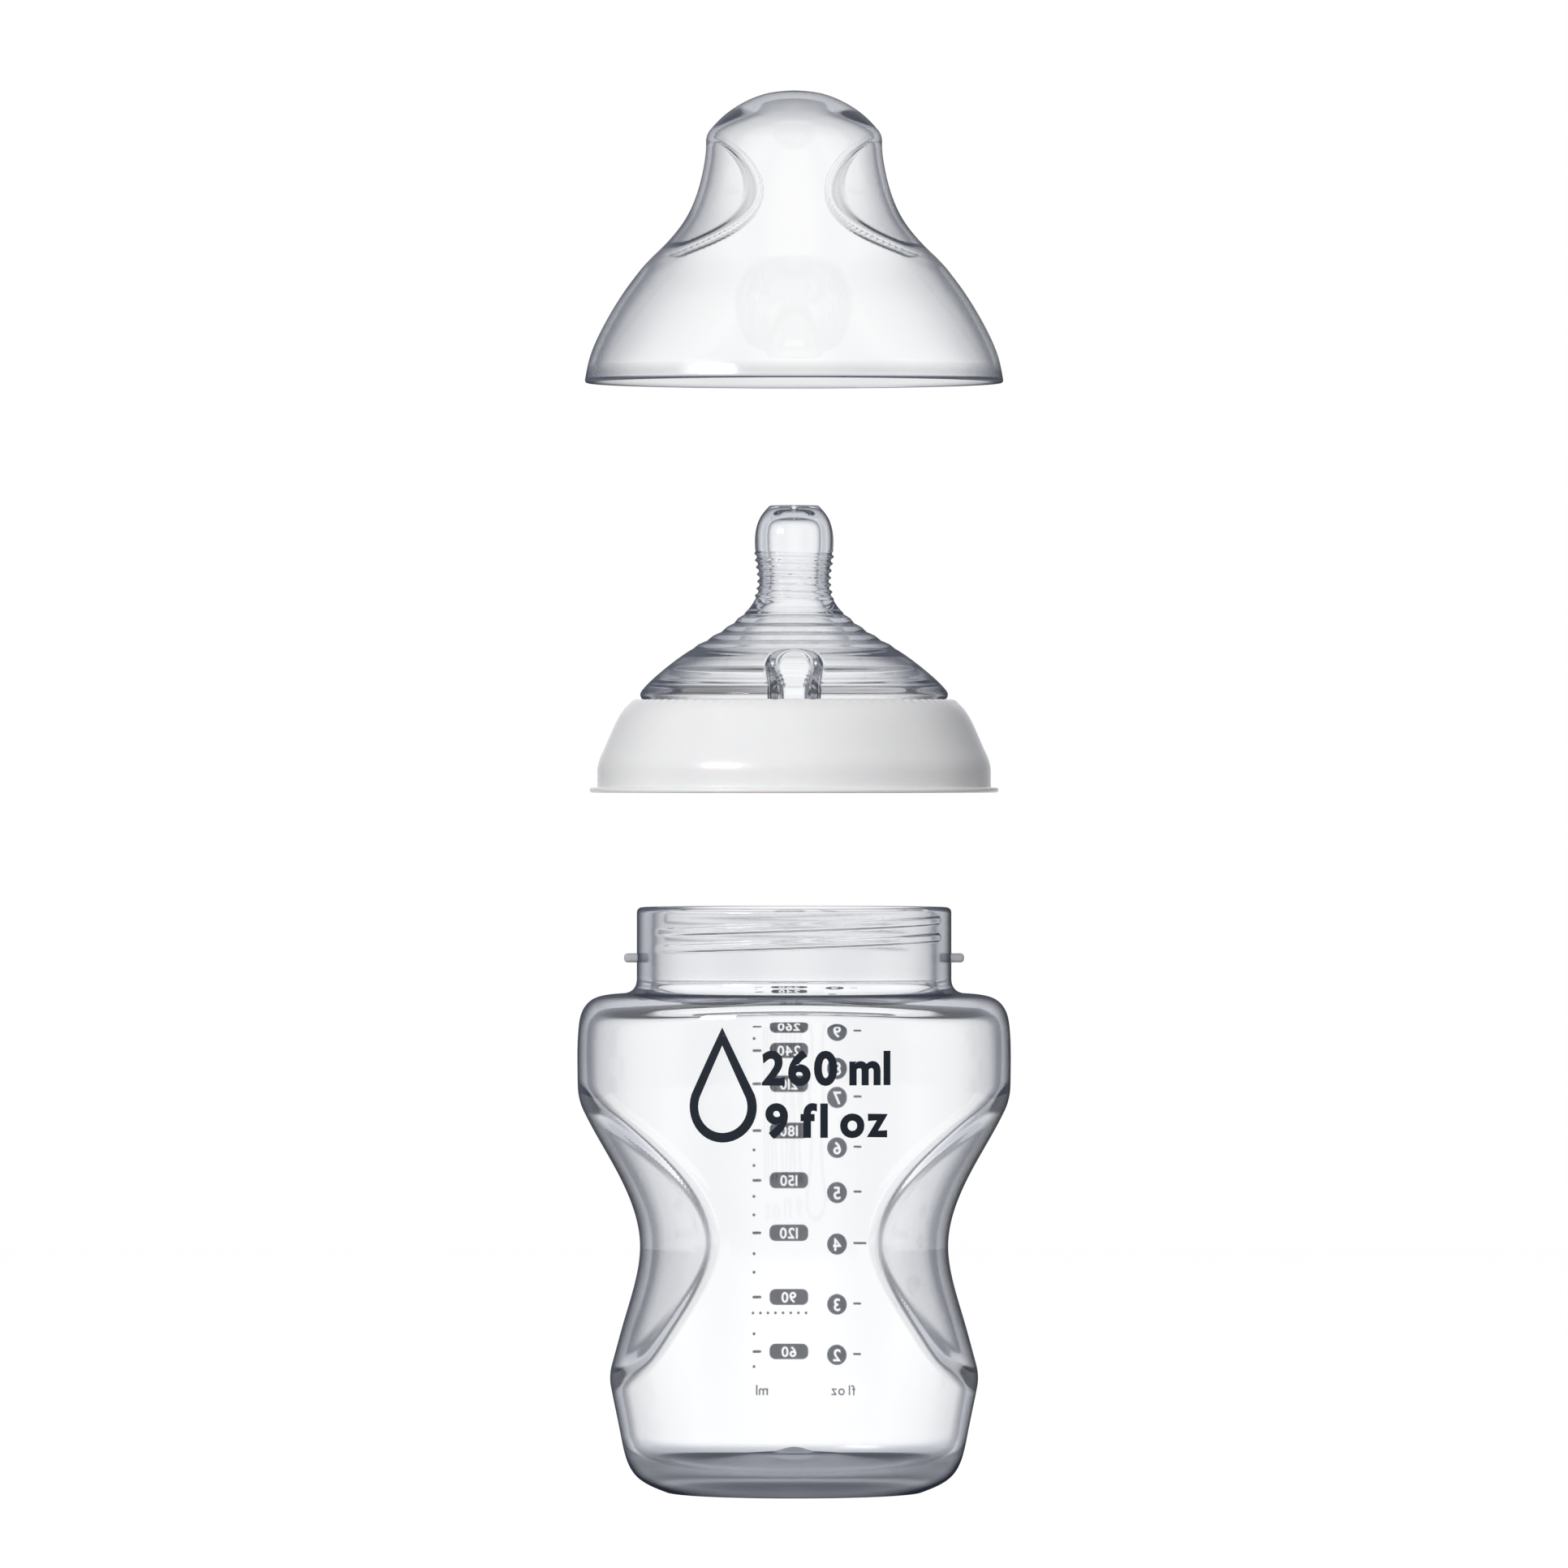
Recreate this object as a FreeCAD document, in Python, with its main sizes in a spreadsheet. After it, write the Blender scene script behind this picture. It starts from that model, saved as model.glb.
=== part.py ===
import FreeCAD, Part
import Sketcher
import math
import os

# A wide-neck baby bottle in four pieces: a clear bottle with a pinched waist, a one-piece
# silicone teat, a two-wall screw ring that clamps the teat's flange on the neck rim, and a
# clear travel cap that stands on the ring's flange.
# Millimetres, +Z up. The origin is the centre of the bottle's foot. -Y is the front.

doc = FreeCAD.newDocument("baby_bottle")
Vector = FreeCAD.Vector

# ---------------------------------------------------------------- driving dimensions

SIZES = {
    # where the closure and the cap stand above their closed places
    "closure_rise": 30.0,
    "cap_rise": 72.0,
    # bottle
    "bottle_height": 104.3,
    "shoulder_radius": 38.85,
    "shoulder_height": 76.0,
    "waist_radius": 27.5,
    "waist_height": 44.3,
    "waist_depth_radius": 35.6,
    "hip_radius": 32.9,
    "hip_height": 20.0,
    "pinch_offset": 23.0,
    "foot_radius": 22.8,
    "foot_width": 2.6,
    "punt_height": 1.4,
    "wall": 1.6,
    "base_thickness": 3.2,
    "neck_radius": 28.05,
    "neck_wall": 2.6,
    "neck_base_height": 88.9,
    "neck_rim_rounding": 0.9,
    "lug_radius": 30.35,
    "lug_height": 95.3,
    "lug_thickness": 1.7,
    "lug_width": 6.0,
    # two-start thread between the neck and the ring
    "thread_lead": 6.0,
    "neck_ridge_centre": 101.0,
    "neck_ridge_width": 1.2,
    "neck_ridge_depth": 0.9,
    "neck_ridge_arc": 128.0,
    "ring_ridge_width": 1.0,
    "ring_ridge_depth": 1.3,
    "ring_ridge_arc": 200.0,
    # screw ring, measured from its own bottom face
    "ring_height": 16.8,
    "ring_flange_radius": 36.5,
    "ring_flange_thickness": 1.2,
    "ring_body_radius": 35.1,
    "ring_body_height": 4.6,
    "ring_top_radius": 28.1,
    "ring_bore_radius": 29.7,
    "ring_bore_bottom": 2.6,
    "ring_wall": 1.5,
    "lip_radius": 24.65,
    "lip_bottom": 11.85,
    # teat, measured from the bottom face of its flange
    "teat_height": 41.7,
    "teat_flange_radius": 29.5,
    "teat_flange_thickness": 2.1,
    "teat_groove_radius": 24.4,
    "teat_rim_radius": 27.45,
    "teat_rim_height": 7.9,
    "teat_neck_radius": 6.3,
    "teat_bulb_radius": 7.0,
    "teat_tip_radius": 4.3,
    "teat_hole_radius": 0.4,
    "valve_width": 5.6,
    "valve_floor": 20.2,
    "valve_wall": 1.6,
    "valve_bottom": 3.4,
    "valve_top": 13.4,
    "valve_slit": 0.5,
    # travel cap, measured from its rim
    "cap_height": 52.2,
    "cap_rim_radius": 37.3,
    "cap_wall": 1.1,
    "cap_kink_radius": 26.4,
    "cap_kink_height": 21.5,
    "cap_dent_radius": 17.2,
    "cap_dent_height": 34.2,
    "cap_dent_depth_radius": 21.0,
    "cap_crown_radius": 15.4,
    "cap_crown_height": 44.6,
    "cap_pinch_offset": 6.6,
    # clearances at the closed fit
    "seat_gap": 0.03,
}

sheet = doc.addObject("Spreadsheet::Sheet", "Sizes")
for row, (alias, value) in enumerate(SIZES.items(), start=1):
    sheet.set("A%d" % row, alias)
    sheet.set("B%d" % row, str(value))
    sheet.setAlias("B%d" % row, alias)
doc.recompute()


def size(alias):
    """The value of one named cell of the sheet."""
    return float(sheet.get(alias))


# ---------------------------------------------------------------- sketch helpers

def origin_part(body, role):
    """One origin plane or axis of a body, found by its role."""
    return [item for item in body.Origin.OriginFeatures if item.Role == role][0]


def new_sketch(body, name, role="XZ_Plane"):
    """An empty sketch on one origin plane of its own body."""
    sketch = body.newObject("Sketcher::SketchObject", name)
    sketch.AttachmentSupport = (origin_part(body, role), [""])
    sketch.MapMode = "FlatFace"
    return sketch


def coordinate(value):
    """A coordinate is a number or the alias of a cell."""
    return size(value) if isinstance(value, str) else value


def flat(point):
    """A sketch point as a vector."""
    return Vector(coordinate(point[0]), coordinate(point[1]), 0)


def pin(sketch, geometry, end, point):
    """Binds the end of a straight edge to the cells that name its place."""
    for kind, value in zip(("DistanceX", "DistanceY"), point):
        if isinstance(value, str):
            constraint = Sketcher.Constraint(kind, -1, 1, geometry, end, size(value))
            index = sketch.addConstraint(constraint)
            sketch.setExpression("Constraints[%d]" % index, "Sizes.%s" % value)


def draw_line(sketch, first, last):
    """A straight edge whose named ends follow the sheet."""
    geometry = sketch.addGeometry(Part.LineSegment(flat(first), flat(last)), False)
    pin(sketch, geometry, 1, first)
    pin(sketch, geometry, 2, last)


def draw_arc(sketch, first, middle, last):
    """A round edge through three points."""
    sketch.addGeometry(Part.Arc(flat(first), flat(middle), flat(last)), False)


def draw_curve(sketch, points):
    """A smooth edge through its points."""
    curve = Part.BSplineCurve()
    curve.interpolate([flat(point) for point in points])
    sketch.addGeometry(curve, False)


def draw_outline(sketch, start, steps):
    """A closed outline: each step is a line, an arc or a curve from where the last one ended."""
    here = start
    for kind, points in steps:
        if kind == "arc":
            draw_arc(sketch, here, points[0], points[1])
        elif kind == "curve":
            draw_curve(sketch, [here] + points)
        else:
            for point in points:
                draw_line(sketch, here, point)
                here = point
        here = points[-1]
    draw_line(sketch, here, start)


def revolve(body, sketch, name):
    """Turns a sketch about the body's upright axis."""
    feature = body.newObject("PartDesign::Revolution", name)
    feature.Profile = sketch
    feature.ReferenceAxis = (sketch, ["V_Axis"])
    feature.Angle = 360
    doc.recompute()
    return feature


def pinch(body, name, side, offset, edge, margin):
    """Cuts one finger dent: what lies outside a curve turned about an upright axis that stands
    on the far side of the centre, which makes the dent flatter than the body round it."""
    sketch = new_sketch(body, name + "_outline")
    axis = Part.LineSegment(Vector(-side * offset, 0, 0), Vector(-side * offset, 10, 0))
    sketch.addGeometry(axis, True)
    points = [(side * coordinate(radius), coordinate(height)) for radius, height in edge]
    far = side * margin
    draw_curve(sketch, points)
    draw_line(sketch, points[-1], (far, points[-1][1]))
    draw_line(sketch, (far, points[-1][1]), (far, points[0][1]))
    draw_line(sketch, (far, points[0][1]), points[0])
    groove = body.newObject("PartDesign::Groove", name)
    groove.Profile = sketch
    groove.ReferenceAxis = (sketch, ["Axis0"])
    groove.Angle = 360
    doc.recompute()
    return groove


def helical_ridge(name, root, crest, half_root, half_crest, centre_angle, arc_degrees, height):
    """A thread ridge: a trapezium swept along a right-hand helix, centred on one angle."""
    lead = size("thread_lead")
    rise = lead * arc_degrees / 360.0
    helix = Part.makeHelix(lead, rise, root)
    profile = Part.makePolygon([
        Vector(root, 0, -half_root),
        Vector(crest, 0, -half_crest),
        Vector(crest, 0, half_crest),
        Vector(root, 0, half_root),
        Vector(root, 0, -half_root),
    ])
    solid = Part.Wire(helix.Edges).makePipeShell([profile], True, True)
    solid.rotate(Vector(0, 0, 0), Vector(0, 0, 1), centre_angle - arc_degrees / 2)
    solid.translate(Vector(0, 0, height - rise / 2))
    ridge = doc.addObject("Part::Feature", name)
    ridge.Shape = solid
    return ridge


def join(name, shapes):
    """Fuses several objects into one."""
    fusion = doc.addObject("Part::MultiFuse", name)
    fusion.Shapes = shapes
    fusion.Refine = False
    doc.recompute()
    return fusion


def cut(name, base, tool):
    """Cuts one object out of another."""
    result = doc.addObject("Part::Cut", name)
    result.Base = base
    result.Tool = tool
    result.Refine = False
    doc.recompute()
    return result


# ---------------------------------------------------------------- bottle

def bottle_shape(name, inset, floor, top, neck_radius):
    """The bottle's outer form, or its cavity when an inset is given. Seen from the front it has
    a deep waist; from the side it tapers gently, because the waist is only pinched left and
    right."""
    body = doc.addObject("PartDesign::Body", name)
    sketch = new_sketch(body, name + "_section")
    foot = size("foot_radius") - inset
    hip = size("hip_radius") - inset
    waist = size("waist_depth_radius") - inset
    shoulder = size("shoulder_radius") - inset
    punt = floor + size("punt_height")
    neck_base = size("neck_base_height") - inset
    side = [
        (28.3 - inset, floor + 3.0),
        (hip - 1.9, floor + 10.5 - floor / 2),
        (hip, "hip_height"),
        (waist, "waist_height"),
        (shoulder - 0.4, 66.0),
        (shoulder, "shoulder_height"),
        (shoulder - 0.45, neck_base - 5.5),
        (shoulder - 1.75, neck_base - 2.2),
        (shoulder - 4.5, neck_base - 0.4),
        (neck_radius + 3.1, neck_base),
    ]
    neck_start = (neck_radius, neck_base + 2.4)
    rest = foot - size("foot_width")
    draw_outline(sketch, (0, punt), [
        ("arc", [(rest * 0.55, floor + size("punt_height") * 0.68), (rest, floor)]),
        ("line", [(foot, floor)]),
        ("curve", side),
        ("arc", [(neck_radius + 0.8, neck_base + 0.6), neck_start]),
        ("line", [(neck_radius, top), (0, top)]),
    ])
    revolve(body, sketch, name + "_revolved")
    dent = [
        (shoulder + 1.6, 74.5),
        (size("shoulder_radius") - 1.8 - inset, 66.9),
        (33.1 - inset, 59.9),
        (29.6 - inset, 53.0),
        (size("waist_radius") - inset, "waist_height"),
        (28.4 - inset, 37.4),
        (30.4 - inset, 30.4),
        (hip - 0.6, 23.5),
        (hip + 1.2, 17.0),
    ]
    for side_name, direction in (("right", 1), ("left", -1)):
        pinch(body, name + "_dent_" + side_name, direction, size("pinch_offset"), dent, 46.0)
    return body


def build_bottle():
    """The bottle: an outer form less its cavity, with its thread ridges and side lugs."""
    outer = bottle_shape("bottle_form", 0.0, 0.0, size("bottle_height"), size("neck_radius"))
    bore = size("neck_radius") - size("neck_wall")
    cavity = bottle_shape("bottle_cavity", size("wall"), size("base_thickness"),
                          size("bottle_height") + 2.0, bore)
    pieces = [outer]
    for side_name, angle in (("front", -90), ("back", 90)):
        for row in (0, 1):
            height = size("neck_ridge_centre") - row * size("thread_lead") / 2
            root = size("neck_radius") - 0.3
            crest = size("neck_radius") + size("neck_ridge_depth")
            half = size("neck_ridge_width") / 2
            pieces.append(helical_ridge("neck_ridge_%s_%d" % (side_name, row), root, crest,
                                        half, half * 0.55, angle,
                                        size("neck_ridge_arc"), height))
    lug = doc.addObject("Part::Box", "side_lug_block")
    lug.setExpression("Length", "2 * Sizes.lug_radius")
    lug.setExpression("Width", "Sizes.lug_width")
    lug.setExpression("Height", "Sizes.lug_thickness")
    lug.setExpression("Placement.Base.x", "-Sizes.lug_radius")
    lug.setExpression("Placement.Base.y", "-Sizes.lug_width / 2")
    lug.setExpression("Placement.Base.z", "Sizes.lug_height - Sizes.lug_thickness / 2")
    pieces.append(lug)
    doc.recompute()
    solid = join("bottle_solid", pieces)
    bottle = cut("bottle_hollow", solid, cavity)
    rounded = doc.addObject("Part::Fillet", "bottle")
    rounded.Base = bottle
    rim = size("bottle_height")
    picked = []
    for number, edge in enumerate(bottle.Shape.Edges, start=1):
        box = edge.BoundBox
        if abs(box.ZMin - rim) < 0.01 and abs(box.ZMax - rim) < 0.01:
            picked.append((number, size("neck_rim_rounding"), size("neck_rim_rounding")))
    rounded.Edges = picked
    doc.recompute()
    return rounded


# ---------------------------------------------------------------- screw ring

def build_ring():
    """The screw ring: a domed skirt and a threaded sleeve that meet under the teat's lip."""
    body = doc.addObject("PartDesign::Body", "ring_body")
    sketch = new_sketch(body, "ring_section")
    skirt_inside = size("ring_body_radius") - size("ring_wall")
    sleeve_outside = size("ring_bore_radius") + size("ring_wall")
    draw_outline(sketch, (skirt_inside, 0), [
        ("line", [("ring_flange_radius", 0), ("ring_flange_radius", "ring_flange_thickness"),
                  ("ring_body_radius", "ring_flange_thickness"),
                  ("ring_body_radius", "ring_body_height")]),
        ("arc", [(32.85, 10.7), (29.3, 16.1)]),
        ("arc", [(28.9, 16.6), ("ring_top_radius", "ring_height")]),
        ("line", [(27.75, "ring_height"), (25.1, 14.15)]),
        ("arc", [(24.75, 13.85), ("lip_radius", 13.4)]),
        ("line", [("lip_radius", "lip_bottom"), ("ring_bore_radius", "lip_bottom"),
                  ("ring_bore_radius", "ring_bore_bottom"),
                  (sleeve_outside, "ring_bore_bottom"), (sleeve_outside, 8.7),
                  (31.6, 8.9)]),
        ("arc", [(32.75, 6.9), (skirt_inside, 4.4)]),
    ])
    revolve(body, sketch, "ring_revolved")
    half = size("ring_ridge_width") / 2
    root = size("ring_bore_radius") + 0.3
    crest = size("ring_bore_radius") - size("ring_ridge_depth")
    closed_bottom = ring_closed_height()
    height = size("neck_ridge_centre") - size("thread_lead") / 4 - closed_bottom
    pieces = [body]
    for side_name, angle in (("front", -90), ("back", 90)):
        pieces.append(helical_ridge("ring_ridge_" + side_name, root, crest, half, half * 0.6,
                                    angle, size("ring_ridge_arc"), height))
    ring = join("screw_ring", pieces)
    place(ring, "Sizes.closure_rise", closed_bottom)
    return ring


def ring_closed_height():
    """Height of the ring's bottom face when its lip has drawn the teat's flange on the rim."""
    flange_top = size("bottle_height") + size("seat_gap") + size("teat_flange_thickness")
    return flange_top + size("seat_gap") - size("lip_bottom")


def place(item, rises, closed_height):
    """Stands an object at its closed height plus the named rises of the sheet."""
    item.setExpression("Placement.Base.z", "%s + %.4f" % (rises, closed_height))
    doc.recompute()


# ---------------------------------------------------------------- teat

def section_pad(body, name, outline, width):
    """Adds a block across the front of the body: a side view outline, as wide as a cell says."""
    sketch = new_sketch(body, name + "_outline", "YZ_Plane")
    draw_outline(sketch, outline[0], [("line", outline[1:])])
    pad = body.newObject("PartDesign::Pad", name)
    pad.Profile = sketch
    pad.SideType = "Symmetric"
    pad.setExpression("Length", width)
    doc.recompute()
    return pad


def section_pocket(body, name, outline, width, probe):
    """Cuts a block out of the front of the body. The probe is a point that it has to clear."""
    sketch = new_sketch(body, name + "_outline", "YZ_Plane")
    draw_outline(sketch, outline[0], [("line", outline[1:])])
    pocket = body.newObject("PartDesign::Pocket", name)
    pocket.Profile = sketch
    pocket.SideType = "Symmetric"
    pocket.setExpression("Length", width)
    filled = body.Shape.isInside(probe, 0.001, False)
    doc.recompute()
    if not filled or pocket.Shape.isInside(probe, 0.001, False):
        raise RuntimeError(name + " cuts nothing")
    return pocket


def build_teat():
    """The teat: a hollow silicone form whose groove takes the ring's lip, with a valve pocket
    in the front of its cone."""
    body = doc.addObject("PartDesign::Body", "teat")
    sketch = new_sketch(body, "teat_section")
    tip = size("teat_height")
    hole = "teat_hole_radius"
    flange = size("teat_flange_radius")
    top = size("teat_flange_thickness")
    rounding = 0.5
    shy = rounding * (1 - math.sqrt(0.5))
    draw_outline(sketch, (hole, tip - 0.7), [
        ("line", [(hole, 39.9)]),
        ("curve", [(2.4, 39.7), (4.4, 38.6), (5.25, 36.9), (5.35, 35.4), (5.0, 31.8),
                   (4.6, 28.3), (5.3, 25.0), (7.6, 22.1), (12.4, 18.3), (17.8, 15.0),
                   (22.3, 11.6), (24.9, 9.2), (25.2, 7.9), (24.4, 6.4), (22.9, 4.6),
                   (22.4, 2.8), (22.4, 0)]),
        ("line", [(flange - rounding, 0)]),
        ("arc", [(flange - shy, shy), (flange, rounding)]),
        ("line", [(flange, top - rounding)]),
        ("arc", [(flange - shy, top - shy), (flange - rounding, top)]),
        ("line", [("teat_groove_radius", "teat_flange_thickness"),
                  ("teat_groove_radius", 4.1), (26.7, 6.6)]),
        ("curve", [("teat_rim_radius", "teat_rim_height"), (26.7, 9.2), (23.95, 11.8),
                   (19.5, 15.2), (14.05, 18.5), (9.35, 21.9), (7.0, 24.9),
                   ("teat_neck_radius", 28.4), (6.7, 31.8), ("teat_bulb_radius", 35.6),
                   (6.65, 38.0), (5.6, 40.2), ("teat_tip_radius", tip)]),
        ("arc", [(2.7, tip - 0.25), (1.2, tip - 0.6)]),
    ])
    revolve(body, sketch, "teat_revolved")
    floor = -size("valve_floor")
    behind = floor + size("valve_wall")
    section_pad(body, "valve_well", [
        (behind, 2.6), (behind, 14.2), (-20.1, 14.2), (-23.4, 11.7), (-26.1, 9.0),
        (-26.7, 7.9), (-26.0, 6.8), (-24.0, 4.6), (-24.0, 2.6),
    ], "Sizes.valve_width + 2 * Sizes.valve_wall")
    outside = -40.0
    section_pocket(body, "valve_pocket", [
        (floor, "valve_bottom"), (outside, "valve_bottom"), (outside, "valve_top"),
        (floor, "valve_top"),
    ], "Sizes.valve_width", Vector(0, floor - 1.0, 12.6))
    section_pocket(body, "valve_slit_cut", [
        (floor - 1.0, 7.4), (behind + 1.0, 7.4), (behind + 1.0, 10.4), (floor - 1.0, 10.4),
    ], "Sizes.valve_slit", Vector(0, (floor + behind) / 2, 9.0))
    place(body, "Sizes.closure_rise", size("bottle_height") + size("seat_gap"))
    return body


# ---------------------------------------------------------------- travel cap

def cap_shape(name, inset, bottom):
    """The cap's outer form, or its cavity when an inset is given: a bell with a round crown
    and a finger dent on each side."""
    body = doc.addObject("PartDesign::Body", name)
    sketch = new_sketch(body, name + "_section")
    rim = size("cap_rim_radius") - inset
    crown = size("cap_height") - inset * 1.2
    kink = (size("cap_kink_radius") - inset, size("cap_kink_height"))
    draw_outline(sketch, (0, bottom), [
        ("line", [(rim, bottom)] + ([(rim, 0.0)] if bottom < 0 else [])),
        ("curve", [(36.4 - inset, 4.4), (34.5 - inset, 9.2), (31.8 - inset, 14.0),
                   (29.4 - inset, 17.5), kink]),
        ("curve", [(24.5 - inset, 25.2), (22.6 - inset, 29.8),
                   (size("cap_dent_depth_radius") - inset, "cap_dent_height"),
                   (18.7 - inset, 39.5),
                   (size("cap_crown_radius") - inset, size("cap_crown_height") - inset * 0.3),
                   (12.9 - inset * 0.8, 47.35 - inset * 0.6),
                   (9.0 - inset * 0.6, 50.05 - inset * 0.9),
                   (4.6 - inset * 0.3, 51.7 - inset * 1.1), (0, crown)]),
    ])
    revolve(body, sketch, name + "_revolved")
    dent = [
        (19.0 - inset, 48.6), (16.0 - inset, 44.8), (15.7 - inset, 42.2), (16.2 - inset, 38.2),
        (size("cap_dent_radius") - inset, "cap_dent_height"), (19.3 - inset, 29.4),
        (23.0 - inset, 24.7), (25.5 - inset, 22.3), (30.2 - inset, 18.6),
    ]
    for side_name, direction in (("right", 1), ("left", -1)):
        pinch(body, name + "_dent_" + side_name, direction, size("cap_pinch_offset"), dent, 44.0)
    return body


def build_cap():
    """The travel cap: a thin clear bell that stands on the ring's flange."""
    outer = cap_shape("cap_form", 0.0, 0.0)
    cavity = cap_shape("cap_cavity", size("cap_wall"), -3.0)
    cap = cut("cap", outer, cavity)
    stand = ring_closed_height() + size("ring_flange_thickness") + size("seat_gap")
    place(cap, "Sizes.closure_rise + Sizes.cap_rise", stand)
    return cap


# ---------------------------------------------------------------- build, check and write

def check(sub_parts):
    """Stops on any object that failed and on any sub-part that isn't one valid solid."""
    for item in doc.Objects:
        if "Invalid" in item.State or "Error" in item.State:
            raise RuntimeError("failed: %s %s" % (item.Name, item.State))
    for part in sub_parts:
        if part.Shape.isNull() or not part.Shape.isValid():
            raise RuntimeError("not valid: " + part.Label)
        if len(part.Shape.Solids) != 1:
            raise RuntimeError("not one solid: " + part.Label)


bottle = build_bottle()
ring = build_ring()
teat = build_teat()
cap = build_cap()
doc.recompute()
sub_parts = [bottle, ring, teat, cap]
check(sub_parts)
os.makedirs("parts", exist_ok=True)
for part in sub_parts:
    part.Shape.exportStep(os.path.join("parts", part.Label + ".step"))
    box = part.Shape.BoundBox
    print("%-11s %8.1f mm3  z %.2f to %.2f  faces %d"
          % (part.Label, part.Shape.Volume, box.ZMin, box.ZMax, len(part.Shape.Faces)))
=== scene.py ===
import bmesh
import bpy
import math
import numpy as np
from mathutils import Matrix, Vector
from mathutils.geometry import interpolate_bezier


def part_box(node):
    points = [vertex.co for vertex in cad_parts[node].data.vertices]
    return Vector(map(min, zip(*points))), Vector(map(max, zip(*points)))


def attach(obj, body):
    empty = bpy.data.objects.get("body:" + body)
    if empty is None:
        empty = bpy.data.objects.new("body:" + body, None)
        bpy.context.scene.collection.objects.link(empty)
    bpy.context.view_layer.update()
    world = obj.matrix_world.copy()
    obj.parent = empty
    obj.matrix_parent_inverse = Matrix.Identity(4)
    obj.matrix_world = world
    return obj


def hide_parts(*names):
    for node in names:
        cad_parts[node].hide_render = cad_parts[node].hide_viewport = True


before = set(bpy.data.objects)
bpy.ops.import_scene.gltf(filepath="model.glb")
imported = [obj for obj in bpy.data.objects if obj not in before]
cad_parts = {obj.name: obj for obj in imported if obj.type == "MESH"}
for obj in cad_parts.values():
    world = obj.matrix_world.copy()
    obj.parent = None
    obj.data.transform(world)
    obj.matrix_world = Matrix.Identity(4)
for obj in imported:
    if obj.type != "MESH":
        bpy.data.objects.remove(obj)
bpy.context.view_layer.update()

# A clear wide-neck baby bottle, taken apart in line: bottle, screw ring with its teat, cap.
# Lengths of the pieces and prints are in millimetres and become metres where a mesh is made.
# Lengths of the studio round them are in metres.

MM = 0.001

# ------------------------------------------------------------------ places from the frame

def lowest_and_highest(node):
    """The heights of a node's bottom and top at rest."""
    low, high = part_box(node)
    return low[2] / MM, high[2] / MM


BOTTLE_TOP = lowest_and_highest("bottle")[1]
RING_BOTTOM = lowest_and_highest("screw_ring")[0]
TEAT_BOTTOM = lowest_and_highest("teat")[0]
CAP_BOTTOM = lowest_and_highest("cap")[0]


# ------------------------------------------------------------------ outline helpers

def smooth_curve(points, step):
    """A natural cubic spline through the points, by chord length, sampled every step."""
    knots = np.array(points, float)
    chords = np.hypot(*np.diff(knots, axis=0).T)
    along = np.concatenate([[0.0], np.cumsum(chords)])
    count = len(knots)
    matrix = np.zeros((count, count))
    right = np.zeros((count, 2))
    matrix[0, 0] = matrix[-1, -1] = 1.0
    for i in range(1, count - 1):
        matrix[i, i - 1] = chords[i - 1]
        matrix[i, i] = 2 * (chords[i - 1] + chords[i])
        matrix[i, i + 1] = chords[i]
        slope_after = (knots[i + 1] - knots[i]) / chords[i]
        slope_before = (knots[i] - knots[i - 1]) / chords[i - 1]
        right[i] = 6 * (slope_after - slope_before)
    bend = np.linalg.solve(matrix, right)
    samples = max(2, int(math.ceil(along[-1] / step)) + 1)
    result = []
    for t in np.linspace(0.0, along[-1], samples):
        i = min(int(np.searchsorted(along, t, side="right")) - 1, count - 2)
        h = chords[i]
        a = (along[i + 1] - t) / h
        b = (t - along[i]) / h
        point = a * knots[i] + b * knots[i + 1]
        point = point + ((a ** 3 - a) * bend[i] + (b ** 3 - b) * bend[i + 1]) * h * h / 6
        result.append((float(point[0]), float(point[1])))
    return result


def straight(first, last, step):
    """Points along a straight stretch."""
    length = math.dist(first, last)
    samples = max(1, int(math.ceil(length / step)))
    return [(first[0] + (last[0] - first[0]) * i / samples,
             first[1] + (last[1] - first[1]) * i / samples) for i in range(samples + 1)]


def round_corner(centre, radius, start_degrees, end_degrees, samples):
    """Points round a corner."""
    result = []
    for i in range(samples + 1):
        angle = math.radians(start_degrees + (end_degrees - start_degrees) * i / samples)
        result.append((centre[0] + radius * math.cos(angle), centre[1] + radius * math.sin(angle)))
    return result


def chain(*stretches):
    """Joins stretches into one outline and drops repeated points."""
    result = []
    for stretch in stretches:
        for point in stretch:
            if not result or math.dist(result[-1], point) > 0.01:
                result.append(point)
    return result


def smooth_min(a, b, softness):
    """The smaller of two lengths, rounded over where they are nearly equal."""
    blend = np.clip(0.5 + 0.5 * (b - a) / softness, 0.0, 1.0)
    return b * (1 - blend) + a * blend - softness * blend * (1 - blend)


def step_up(value, low, high):
    """0 below low, 1 above high, smooth between."""
    t = np.clip((value - low) / (high - low), 0.0, 1.0)
    return t * t * (3 - 2 * t)


def bump(value, half, edge):
    """1 within half of zero, falling smoothly to 0 over the edge."""
    return 1.0 - step_up(np.abs(value), half, half + edge)


def degrees_from(angles, centre):
    """Angles as degrees away from a centre, between -180 and 180."""
    return (np.degrees(angles) - centre + 180.0) % 360.0 - 180.0


# ------------------------------------------------------------------ turned meshes

ON_AXIS = 1e-6


def add_object(name, data):
    """Puts a mesh, curve, lamp or camera in the scene."""
    item = bpy.data.objects.new(name, data)
    bpy.context.collection.objects.link(item)
    return item


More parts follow.
